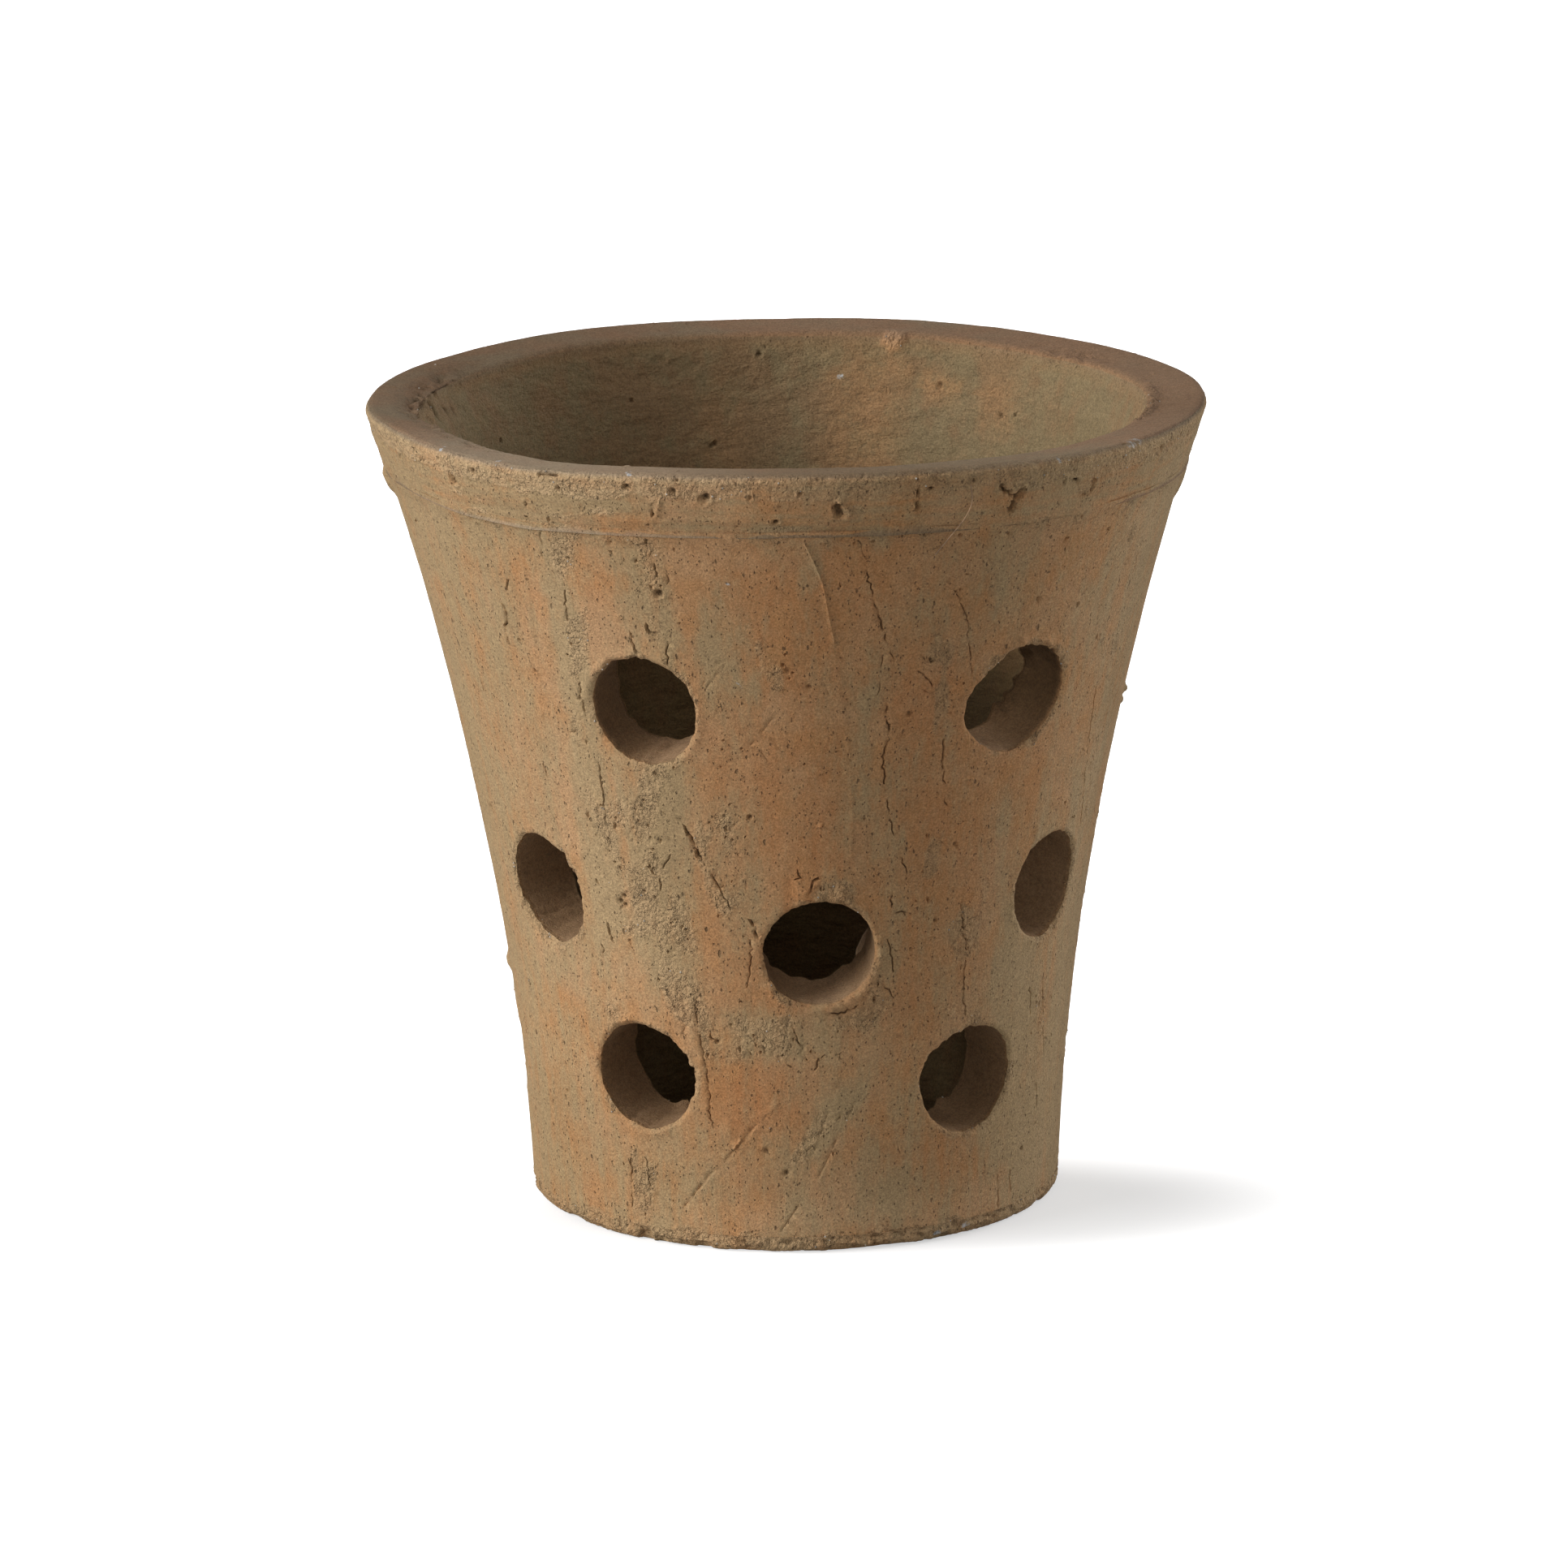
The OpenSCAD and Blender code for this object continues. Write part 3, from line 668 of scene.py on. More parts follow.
class Skin:
    """Relief and stain of the pot's clay."""

    def __init__(self, seed, outer, vents):
        self.lumps, self.fine = Lumps(seed), Lumps(seed + 1)
        self.outer, self.vents = outer, vents
        draw = np.random.default_rng(seed + 4)
        self.cracks, self.band_cracks, self.grooves, self.ridges = (
            [(half, deep, jagged(line, draw, step, swing)) for half, deep, line in across_and_up(rows)]
            for rows, step, swing in ((CRACKS, 1.0, 0.24), (BAND_CRACKS, 0.8, 0.25), (GROOVES, 4, 0.12),
                                       (RIDGES, 5, 0.15)))
        self.nicks = self.scatter_nicks(seed + 2)

    def scatter_nicks(self, seed):
        """Short upright nicks, most of them in torn clay: azimuth, height, tilt, length, half width, depth."""
        draw = np.random.default_rng(seed)
        count = 20000
        az, z = draw.uniform(SEAM + 3, SEAM + 357, count), draw.uniform(6, HEIGHT - 2, count)
        size, shape, tilt = draw.random(count), draw.random(count), draw.normal(0, 0.3, count)
        chance = draw.random(count)
        points = self.outer.place(az, z)
        torn = self.torn(az, z, points, edge_gap(points, self.vents))
        keep = chance < 0.008 + 0.09 * zone(az, z, TORN, 12) + 0.13 * torn**2
        length = 0.15 + 1.5 * shape**2.5
        width = 0.13 + 0.2 * size**3
        return np.stack([az, z, tilt, length, width, 0.25 + 0.45 * size], -1)[keep]

    def calm(self, points):
        """The slow unevenness of clay shaped by hand."""
        return 0.5 * self.lumps.at(points, 80) + 0.28 * self.lumps.at(points, (30, 30, 55))

    def torn(self, az, z, points, gap):
        """How torn the clay is, 0 to 1."""
        lumps = self.lumps
        amount = zone(az + 3.0 * lumps.rough(points, (14, 14, 24), 2), z + 5 * lumps.at(points + 15, 12), TORN, 6)
        ring = 0.7 * (1 - smooth(gap, 0.5, 3.8 + 1.8 * lumps.at(points, 16)))
        foot = 0.8 * (1 - smooth(z, 3.5, 8.0 + 2.5 * lumps.at(points, 22)))
        ledge = 0.45 * smooth(z, 189.5, 192.5) * smooth(lumps.at(points, (26, 26, 40)), -0.7, 0.0)
        amount = np.maximum.reduce([amount, ring, foot, ledge])
        patchy = lumps.rough(points + 90, (7, 7, 15), 4)
        return smooth(amount + 0.5 * patchy, 0.36, 0.95)

    def marks(self, az, z, points, cracks, pits, nicks=()):
        """Depth of cracks, pits and nicks, and how dark they are: dirt and painted shade in them."""
        radius = reach(points)
        depth, dirt, lift = (np.zeros(len(az)) for _ in range(3))

        def cut(near, gap, half, deep, shade):
            share = 1 - smooth(gap, 0.1 * half, half)
            depth[near] = np.maximum(depth[near], deep * share)
            dirt[near] = np.maximum(dirt[near], shade * share)
            lift[near] = np.maximum(lift[near], 0.22 * deep * np.exp(-((gap - half - 0.2) / 0.3) ** 2))

        for half, deep, path in cracks:
            near, gap = line_gap(az, z, radius, path)
            wide = 0.78 + 1.6 * self.fine.at(points[near], 3.4) + 0.7 * self.fine.at(points[near] + 15, 1.2)
            wide = np.clip(wide, 0.03, 1.4)
            cut(near, gap, half * wide, deep * np.minimum(wide, 1), 0.88 * np.minimum(wide, 1))
        for pit in pits:
            near, gap = spot_gap(az, z, radius, pit)
            cut(near, gap, pit[2] * (1.15 + 0.5 * self.fine.at(points[near], 2.2)), pit[3], min(1, pit[3]))
        if len(nicks):
            order = np.argsort(az)
            first, last = (np.searchsorted(az[order], nicks[:, 0] + side) for side in (-2.5, 2.5))
            for a, b, (nick_az, nick_z, tilt, length, width, deep) in zip(first, last, nicks):
                near = order[a:b]
                near = near[np.abs(z[near] - nick_z) < length + 1.5]
                x = np.radians(az[near] - nick_az) * radius[near]
                y = z[near] - nick_z
                along = np.clip(y, -length / 2, length / 2)
                cut(near, np.hypot(x - tilt * along, y - along), 1.25 * width, deep, 0.42)
        return depth - lift * (dirt < 0.2), dirt

    def outside(self, az, z, points, gap):
        """Relief of the wall's outside in millimetres, with its stains."""
        lumps, fine = self.lumps, self.fine
        radius = reach(points)
        torn = self.torn(az, z, points, gap)
        relief = self.calm(points) + 0.09 * lumps.at(points, (6, 6, 60)) + 0.05 * fine.at(points, (2.6, 2.6, 14))
        relief += 0.035 * fine.at(points, 1.8)
        crumbs = fine.crumbs(points, (2.4, 2.4, 3.0))
        relief += torn * (-0.2 + 0.3 * crumbs + 0.16 * fine.at(points, 1.2))
        flake = lumps.rough(points + 150, (6, 6, 7.5), 3)
        relief += 0.2 * torn * (smooth(flake, -0.09, 0.09) - 0.5)
        relief += 0.6 * smooth(z, 190.2, 193.6) * np.clip(0.85 + 0.5 * lumps.at(points + 300, (12, 12, 60)), 0, 1.1)
        depth, dirt = self.marks(az, z, points, self.cracks, PITS, self.nicks)
        grooves, _ = self.marks(az, z, points, self.grooves, [])
        relief -= depth + grooves
        # a darker line just below each flake's edge in torn clay: painted shade at the step
        dirt = np.maximum(
            dirt, 0.2 * torn * np.exp(-((flake + 0.05) / 0.07) ** 2) * smooth(fine.at(points, 5), -0.3, 0.2))
        for half, high, line in self.ridges:
            near, line_far = line_gap(az, z, radius, line)
            share = 1 - smooth(line_far, 0.1 * half, 1.5 * half)
            relief[near] += high * share * (0.8 + 0.5 * fine.at(points[near], 6))
        for knob in KNOBS:
            near, far = spot_gap(az, z, radius, knob)
            far = far / knob[2] + 0.3 * fine.at(points[near], 3)
            relief[near] += knob[3] * (1 - smooth(far, 0.1, 1.0))
        burr = np.exp(-((gap - 1.5) / 0.9) ** 2) * np.clip(lumps.at(points, 7), 0, 1)
        relief += 0.55 * burr
        flank = smooth(np.abs(wrap(az)), 30, 68) * smooth(-np.abs(wrap(az)), -150, -110)
        shaken = az + 1.2 * fine.at(points, 2.4), z + 0.6 * fine.at(points + 30, 2.4)
        return relief, {
            "torn": torn, "dirt": dirt, "chalk": zone(*shaken, CHALK, 0.8),
            "tone": tones(az + 4 * lumps.at(points + 20, 22), z, TONES),
            "film": np.maximum(zone(az + 2.5 * lumps.at(points, (16, 16, 40)), z, FILM, 9), 0.75 * flank),
            "warm": zone(az + 3 * lumps.at(points + 50, 24), z + 4 * lumps.at(points, 20), WARM, 9),
        }

    def inside(self, points, gap):
        """Relief of the wall's inside: level brush marks and a rough edge at each hole."""
        lumps, fine = self.lumps, self.fine
        relief = 0.45 * lumps.at(points + 200, (60, 60, 40)) + 0.32 * lumps.at(points, (20, 20, 11))
        relief += 0.22 * fine.at(points, (9, 9, 5)) + 0.12 * fine.at(points + 40, (4.5, 4.5, 3.5))
        ring = 1 - smooth(gap, 0.5, 4.5 + 2 * lumps.at(points, 14))
        relief += ring * 0.8 * np.clip(lumps.at(points, 6), -0.4, 1)
        return relief, ring


# Rolled-out wall faces, meshed finer where the clay is torn or marked


class Plan:
    """One face of the wall rolled out flat: azimuth times PLAN_R across, height up, in millimetres."""

    CELL = 0.22

    def __init__(self, low, high, columns, step):
        self.width = 2 * math.pi * PLAN_R
        self.low, self.high = low, high
        self.taken = np.zeros([int(s / self.CELL) + 2 for s in (high - low, self.width)], bool)
        self.parts, self.edges, self.count, self.holes = [], [], 0, []
        across = np.linspace(0, self.width, columns + 1)
        up = np.linspace(low, high, int((high - low) / step) + 1)[1:-1]
        self.bottom = self.add(np.stack([across, 0 * across + low], -1), 0.5, chain=True)
        self.top = self.add(np.stack([across, 0 * across + high], -1), 0.5, chain=True)
        self.left = self.add(np.stack([0 * up, up], -1), 0.8)
        self.right = self.add(np.stack([0 * up + self.width, up], -1), 0.8)
        for side, end in ((self.left, 0), (self.right, -1)):
            path = [self.bottom[end], *side, self.top[end]]
            self.edges += list(zip(path[:-1], path[1:]))

    def cells(self, points):
        rows = ((points[:, 1] - self.low) / self.CELL).astype(int)
        return rows, (points[:, 0] / self.CELL).astype(int)

    def claim(self, points, reach):
        """Keeps later points at least about reach away."""
        rows, columns = self.cells(points)
        span = int(reach / self.CELL)
        for dy, dx in itertools.product(range(-span, span + 1), repeat=2):
            if dx * dx + dy * dy <= span * span:
                self.taken[np.clip(rows + dy, 0, self.taken.shape[0] - 1),
                           np.clip(columns + dx, 0, self.taken.shape[1] - 1)] = True

    def add(self, points, reach, chain=False, closed=False):
        """Adds points, joined in a chain or a loop if asked, and returns their numbers."""
        numbers = list(range(self.count, self.count + len(points)))
        self.parts.append(points)
        self.count += len(points)
        self.claim(points, reach)
        if chain:
            self.edges += list(zip(numbers[:-1], numbers[1:]))
        if closed:
            self.edges.append((numbers[-1], numbers[0]))
            self.holes.append(points)
        return numbers

    def fill(self, points, reach):
        """Adds the points that nothing has claimed yet."""
        points = points[(points[:, 0] > 0.3) & (points[:, 0] < self.width - 0.3)]
        points = points[(points[:, 1] > self.low + 0.3) & (points[:, 1] < self.high - 0.3)]
        points = points[~self.taken[self.cells(points)]]
        self.add(points, reach)

    def lattice(self, step, draw):
        """A shaken lattice of points over the whole plan."""
        across = np.arange(0, self.width, step)
        up = np.arange(self.low, self.high, step * 0.866)
        x, y = np.meshgrid(across, up)
        x[1::2] += step / 2
        points = np.stack([x.ravel(), y.ravel()], -1)
        return points + draw.uniform(-0.16, 0.16, points.shape) * step

    def in_hole(self, spots):
        """Whether each spot is in one of the holes' loops."""
        found = np.zeros(len(spots), bool)
        for loop in self.holes:
            near = np.flatnonzero(((spots > loop.min(0)) & (spots < loop.max(0))).all(1))
            x, y = spots[near].T
            inside = np.zeros(len(near), bool)
            for (x0, y0), (x1, y1) in zip(loop, np.roll(loop, -1, 0)):
                if y0 != y1:
                    inside ^= ((y0 > y) != (y1 > y)) & (x < x0 + (x1 - x0) * (y - y0) / (y1 - y0))
            found[near] |= inside
        return found

    def mesh(self):
        """Points and triangles, with the two sides of the roll joined."""
        points = np.concatenate(self.parts)
        corners = [Vector(p) for p in points]
        found = delaunay_2d_cdt(corners, self.edges, [], 0, 1e-7)
        if len(found[0]) != len(points):
            raise RuntimeError(f"the plan made {len(found[0])} points of {len(points)}")
        number = [origin[0] for origin in found[3]]
        triangles = np.array([[number[i] for i in face] for face in found[2]])
        triangles = triangles[~self.in_hole(points[triangles].mean(1))]
        across = np.arange(self.count)
        across[self.right] = self.left
        across[[self.bottom[-1], self.top[-1]]] = self.bottom[0], self.top[0]
        return points, across[triangles]


def to_az(plan_points):
    return np.degrees(plan_points[:, 0] / PLAN_R) + SEAM


def to_plan(points):
    return np.stack([np.radians(az_of(points) - SEAM) * PLAN_R, points[:, 2]], -1)


def mark_points(half, path, spacing):
    """Points along a marked line and beside it, so that the mesh follows it."""
    corners = np.stack([np.radians(np.array([p[0] for p in path]) - SEAM) * PLAN_R, [p[1] for p in path]], -1)
    out = []
    for a, b in zip(corners[:-1], corners[1:]):
        steps = max(1, round(float(np.hypot(*(b - a))) / spacing))
        along = a + np.linspace(0, 1, steps, endpoint=False)[:, None] * (b - a)
        side = np.array([a[1] - b[1], b[0] - a[0]]) / np.hypot(*(b - a)) * (half + 0.12)
        out.append((along, along + side, along - side))
    return [np.concatenate(rows) for rows in zip(*out)]


def pit_points(pit, rings=(0.55, 1.15)):
    """Points in a pit and round its edge."""
    centre = np.array([math.radians(float(home(pit[0])) - SEAM) * PLAN_R, pit[1]])
    turn = np.linspace(0, 2 * math.pi, 9)[:-1]
    ring = np.stack([np.cos(turn), np.sin(turn)], -1)
    return [centre[None]] + [centre + ring * pit[2] * share for share in rings]


def nick_points(nicks):
    """Points in the front's nicks and round their edges."""
    front = nicks[(np.abs(wrap(nicks[:, 0])) < 80) & (nicks[:, 1] < BAND_Z - 2)]
    across = np.radians(front[:, 0] - SEAM) * PLAN_R
    wide, long = 1.4 * front[:, 4] + 0.1, front[:, 3] / 2
    beyond = long + wide
    spots = ((0, 0), (wide, 0), (-wide, 0), (front[:, 2] * long, beyond), (-front[:, 2] * long, -beyond))
    return [np.stack([across + dx, front[:, 1] + dz], -1) for dx, dz in spots]


def outer_plan(form, density, skin, vents):
    """The plan of the wall's outside, with its vent holes and marks."""
    draw = np.random.default_rng(density.seed + 10)
    plan = Plan(SLAB_EDGE_Z, BAND_Z, density.columns, 1.3)
    fine, middle, coarse = (s / MM for s in (density.fine, density.middle, density.coarse))
    loops = []
    for vent in vents:
        turn = vent.ring(density)
        radius = vent.radius(turn)
        line = to_plan(vent.meet(skin.outer, turn, radius))
        loops.append(plan.add(line, 0.4, chain=True, closed=True))
        for step in (0.6, 1.3):
            plan.fill(to_plan(vent.meet(skin.outer, turn + 0.5 * step, radius + step)), 0.42)
    rows = [row for half, _, path in skin.grooves + skin.ridges for row in mark_points(half, path, fine)]
    rows += [row for pit in PITS for row in pit_points(pit)]
    rows += [row for knob in KNOBS for row in pit_points(knob, (0.35, 0.65, 1.0))]
    rows += [row for az, half, low, high, _ in CHALK if high < BAND_Z
             for row in pit_points((az, (low + high) / 2, (high - low) / 2), (0.6, 1.3))]
    rows = [(row, 0.34) for row in rows] + [(row, 0.24) for row in nick_points(skin.nicks)]
    rows = [(row, 0.2) for half, _, path in skin.cracks for row in mark_points(half, path, 0.5)] + rows
    for row, reach in rows:
        points = skin.outer.place(to_az(row), row[:, 1])
        plan.fill(row[edge_gap(points, vents) > 0.8], reach)
    for step, reach, want in ((fine, 0.9, 0.5), (middle, 0.85, 0.12), (coarse, 0.8, -1)):
        points = plan.lattice(step, draw)
        az, z = to_az(points), points[:, 1]
        place = skin.outer.place(az, z)
        gap = edge_gap(place, vents)
        front = smooth(np.cos(np.radians(az)), -0.15, 0.1)
        detail = skin.torn(az, z, place, gap) * (0.35 + 0.65 * front)
        if want > 0:
            _, dirt = skin.marks(az, z, place, [], [], skin.nicks)
            detail = np.maximum(detail, 1.2 * dirt * (0.5 + 0.5 * front))
        if want == 0.12:
            detail = np.maximum(detail, 0.3 * front)
        plan.fill(points[(gap > 0.5 * step) & (detail > want)], step * reach)
    return plan, loops


def exit_burr(vent, turn, lumps):
    """How far clay hangs into the inner end of a hole at each angle."""
    ring = 14 * np.stack([np.cos(turn), np.sin(turn), 0 * turn], -1) + vent.centre
    return vent.look_up("burr", turn) * np.clip(0.9 + 1.1 * lumps.at(ring + 40, 3), 0.2, 1.6)


def inner_plan(density, inner, vents, lumps):
    """The plan of the wall's inside."""
    draw = np.random.default_rng(density.seed + 11)
    plan = Plan(SLAB_EDGE_Z, BAND_Z, density.columns, 1.8)
    loops = []
    for pit in INSIDE_PITS:
        for row in pit_points(pit, (0.6, 1.2)):
            plan.fill(row[row[:, 1] < BAND_Z - 1], 0.4)
    for vent in vents:
        turn = vent.ring(density)
        radius = vent.radius(turn)
        spots = vent.meet(inner, turn, radius)
        radius = radius + 0.4 * lumps.at(spots, 5) + 0.35 * lumps.at(spots + 60, 2.3) - exit_burr(vent, turn, lumps)
        line = to_plan(vent.meet(inner, turn, radius))
        loops.append(plan.add(line, 0.5, chain=True, closed=True))
        plan.fill(to_plan(vent.meet(inner, turn + 0.5, radius + 1.3)), 0.8)
    for step, low in ((1.9, 128), (3.2, 0)):
        points = plan.lattice(step, draw)
        place = inner.place(to_az(points), points[:, 1])
        gap = edge_gap(place, vents)
        plan.fill(points[(gap > 0.5 * step) & (points[:, 1] > low)], step * 0.8)
    return plan, loops


def warp(points, form):
    """The whole pot's unevenness: its rim rises and dips, and its foot stands a little to the right."""
    az = np.degrees(np.arctan2(points[:, 0], -points[:, 1]))
    z = points[:, 2]
    at, rise = zip(*RIM_RISE)
    moved = points.copy()
    moved[:, 2] += smooth(z, 120, HEIGHT) * form.rim_wave / MM * np.interp(az, at, rise, period=360)
    moved[:, 0] += form.foot_shift / MM * (1 - smooth(z, 0, 120))
    return moved


def new_object(name, points, faces, stains, form, sharp=55):
    """A closed clay piece from points in millimetres, with its stains as attributes."""
    mesh = bpy.data.meshes.new(name)
    mesh.from_pydata((warp(points, form) * MM).tolist(), [], [list(f) for f in faces])
    for key, values in stains.items():
        mesh.attributes.new(key, "FLOAT", "POINT").data.foreach_set("value", values.astype(np.float32))
    shape = bmesh.new()
    shape.from_mesh(mesh)
    loose = [v for v in shape.verts if not v.link_faces]
    bmesh.ops.delete(shape, geom=loose, context="VERTS")
    open_edges = [e for e in shape.edges if len(e.link_faces) != 2]
    if open_edges:
        raise RuntimeError(f"{name} has {len(open_edges)} open edges")
    bmesh.ops.recalc_face_normals(shape, faces=shape.faces)
    if shape.calc_volume(signed=True) < 0:
        bmesh.ops.reverse_faces(shape, faces=shape.faces)
    shape.to_mesh(mesh)
    shape.free()
    mesh.shade_smooth()
    mesh.set_sharp_from_angle(angle=math.radians(sharp))
    print(name, "has", sum(len(p.vertices) - 2 for p in mesh.polygons), "triangles")
    return new_piece(name, mesh)


def place_piece(piece, node, slot):
    """Gives a member its clay and puts it in its node's place."""
    piece.data.materials.append(clay_material(slot, bpy.context.scene.pot_colours))
    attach(piece, "root")
    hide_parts(node)


def vents_of(form, outer, inner, seed):
    lumps = Lumps(seed + 3)
    rows = LOW_ROW + MIDDLE_ROW + TOP_ROW
    vents = [Vent(az, z, form.vent_d / 2 / MM, outer, inner, lumps) for az, z in rows]
    for key, parts in (("wear", VENT_WEAR), ("radii", VENT_WIDE), ("lip", VENT_LIPS), ("burr", EXIT_BURRS)):
        for number, turn, half, extra in parts:
            values = getattr(vents[number], key)
            values += extra * vents[number].part(turn, half)
    for number, turn, half, extra in VENT_RAGGED:
        vents[number].radii += 1.3 * extra * vents[number].part(turn, half) * vents[number].teeth
    # painted light and shade on the cut clay of the bores
    for number, turn, half, share in BORE_LIGHT_AND_SHADE:
        vents[number].tone += (share - 1) * vents[number].part(turn, half)
    return vents


def make_skin():
    form, density, _, _ = settings()
    outer, inner = faces_of_wall(form)
    vents = vents_of(form, outer, inner, density.seed)
    return Skin(density.seed, outer, vents), inner, vents


def build_wall(name):
    """The flared wall: outside, inside, the bores of the vent holes and the two hidden rings."""
    form, density, _, _ = settings()
    skin, inner, vents = make_skin()
    outer = skin.outer

    plan, loops = outer_plan(form, density, skin, vents)
    flat, outside = plan.mesh()
    az, z = to_az(flat), flat[:, 1]
    base = outer.place(az, z)
    wear, lip = np.zeros(len(base)), np.zeros(len(base))
    gap = np.maximum(edge_gap(base, vents, wear=wear, lip=lip), 0)
    relief, stains = skin.outside(az, z, base, gap)
    worn = np.maximum(0.75 + 0.5 * skin.lumps.at(base, 5) + 0.4 * skin.fine.at(base, 2.2), 0.25) + wear
    relief -= np.clip(1 - gap / worn, 0, 1) ** 2 * 0.55 * worn
    relief += lip * np.exp(-((gap - 1.1) / 0.9) ** 2) * np.clip(0.8 + skin.fine.rough(base + 55, 2.6, 2), 0.1, 1.7)
    points = outer.place(az, z, relief)
    stains = stain_set(len(az), **stains)

    back_plan, back_loops = inner_plan(density, inner, vents, skin.lumps)
    flat, inward = back_plan.mesh()
    az, z = to_az(flat), flat[:, 1]
    base = inner.place(az, z)
    gap = np.maximum(edge_gap(base, vents), 0)
    relief, ring = skin.inside(base, gap)
    hollow, dirt = skin.marks(az, z, base, [], INSIDE_PITS)
    back_points = inner.place(az, z, hollow - relief)
    # the inside's pits are darkened with dirt and painted shade, and its tone stain holds painted light and shade
    back_stains = stain_set(len(az), torn=0.6 * ring, dirt=0.9 * dirt, film=0.6, warm=zone(az, z, INSIDE_WARM, 6),
                            inside=1, tone=tones(az, z, INSIDE_LIGHT_AND_SHADE))

    parts, all_stains, start = [points, back_points], [stains, back_stains], len(points) + len(back_points)
    faces = [outside, inward[:, ::-1] + len(points)]
    quads = []

    def strip(first, second, closed):
        ahead = (lambda row: row[1:] + row[:1]) if closed else (lambda row: row[1:])
        for a, b, c, d in zip(first, ahead(first), ahead(second), second):
            quads.append((a, b, c, d))

    depths = np.array([0.03, 0.08, 0.16, 0.28, 0.42, 0.57, 0.72, 0.85, 0.95])
    for vent, loop, back in zip(vents, loops, back_loops):
        turn = vent.ring(density)
        near, far = points[loop], back_points[back]
        back = [i + len(points) for i in back]
        widen = np.cos(turn)[:, None] * vent.side + np.sin(turn)[:, None] * vent.up
        before = loop
        burr = exit_burr(vent, turn, skin.lumps)[:, None] * widen
        for share in depths:
            ring = near + share * (far + burr - near) - burr * smooth(share, 0.8, 1.0)
            wear = 0.3 * np.exp(-((share * 17.5 / 0.8) ** 2)) * (1 + 0.8 * skin.lumps.at(ring, 4))
            bump = 0.2 * skin.lumps.at(ring, (9, 9, 9)) + 0.1 * skin.fine.at(ring, 2.4)
            pits = smooth(skin.fine.at(ring + 77, 2.0), 0.42, 0.7)
            fade = min(1.0, 8 * share, 8 * (1 - share))
            ring = ring + widen * (wear + fade * (bump + 0.35 * pits))[:, None]
            parts.append(ring)
            numbers = list(range(start, start + len(ring)))
            start += len(ring)
            strip(before, numbers, True)
            before = numbers
            # in each bore the tone stain is painted light where light falls in and painted shade where it can't reach;
            # its dark pits are dirt and painted shade
            all_stains.append(stain_set(
                len(turn), torn=0.75 * smooth(0.09 - share, 0.0, 0.09), dirt=0.6 * pits, bore=smooth(share, 0.0, 0.08),
                tone=1 + (vent.look_up("tone", turn) - 1) * smooth(share, 0.0, 0.12)))
        strip(before, back, True)
    for row, back in ((plan.bottom, back_plan.bottom), (plan.top, back_plan.top)):
        joined = row[:-1] + [row[0]]
        back_joined = [i + len(points) for i in back[:-1] + [back[0]]]
        strip(joined, back_joined, False)

    faces = [tuple(f) for block in faces for f in block.tolist()] + quads
    stains = {key: np.concatenate([part[key] for part in all_stains]) for key in stains}
    return new_object(name, np.concatenate(parts), faces, stains, form)


# Turned pieces, made by geometry nodes from a section


class Nodes:
    """Short calls that add nodes to a tree."""

    def __init__(self, tree):
        self.tree = tree

    def add(self, kind, inputs=None, **options):
        node = self.tree.nodes.new(kind)
        for key, value in options.items():
            setattr(node, key, value)
        for key, value in (inputs or {}).items():
            if isinstance(value, bpy.types.NodeSocket):
                self.tree.links.new(value, node.inputs[key])
            else:
                node.inputs[key].default_value = value
        return node

    def sum(self, operation, a, b=0.0, clamp=False):
        kind = "ShaderNodeMath"
        return self.add(kind, {0: a, 1: b}, operation=operation, use_clamp=clamp).outputs[0]

    def plus(self, a, *more):
        for b in more:
            a = self.sum("ADD", a, b)
        return a

    def times(self, a, *more):
        for b in more:
            a = self.sum("MULTIPLY", a, b)
        return a

    def mix(self, share, a, b, blend="MIX"):
        node = self.add("ShaderNodeMix", {0: share, 6: a, 7: b}, data_type="RGBA", blend_type=blend)
        return node.outputs[2]

    def ease(self, value, low, high, start=0.0, end=1.0):
        inputs = {"Value": value, "From Min": low, "From Max": high, "To Min": start, "To Max": end}
        return self.add("ShaderNodeMapRange", inputs, interpolation_type="SMOOTHSTEP").outputs[0]


def blank_nodes(owner):
    """An emptied node tree of a material or a world."""
    owner.use_nodes = True
    owner.node_tree.nodes.clear()
    return Nodes(owner.node_tree)


def geometry_tree(name, sockets):
    """An empty geometry tree with named inputs, each a name, a socket type and a default."""
    tree = bpy.data.node_groups.new(name, "GeometryNodeTree")
    for label, kind, default in sockets:
        socket = tree.interface.new_socket(label, in_out="INPUT", socket_type=kind)
        if default is not None:
            socket.default_value = default
    tree.interface.new_socket("Geometry", in_out="OUTPUT", socket_type="NodeSocketGeometry")
    nodes = Nodes(tree)
    return tree, nodes, nodes.add("NodeGroupInput").outputs


def finish_tree(nodes, geometry, material):
    """Ends a geometry tree in plain geometry with a material."""
    real = nodes.add("GeometryNodeRealizeInstances", {"Geometry": geometry})
    done = nodes.add("GeometryNodeSetMaterial", {"Geometry": real.outputs[0], "Material": material})
    nodes.add("NodeGroupOutput", {0: done.outputs[0]})


def grow(name, tree, values):
    """Runs a geometry tree with values for its inputs and returns its result as a plain mesh."""
    host = new_piece(name + "_host", bpy.data.meshes.new(name + "_host"))
    modifier = host.modifiers.new(name, "NODES")
    modifier.node_group = tree
    for item in tree.interface.items_tree:
        if item.in_out == "INPUT" and item.name in values:
            modifier[item.identifier] = values[item.name]
    return frozen(host, name)


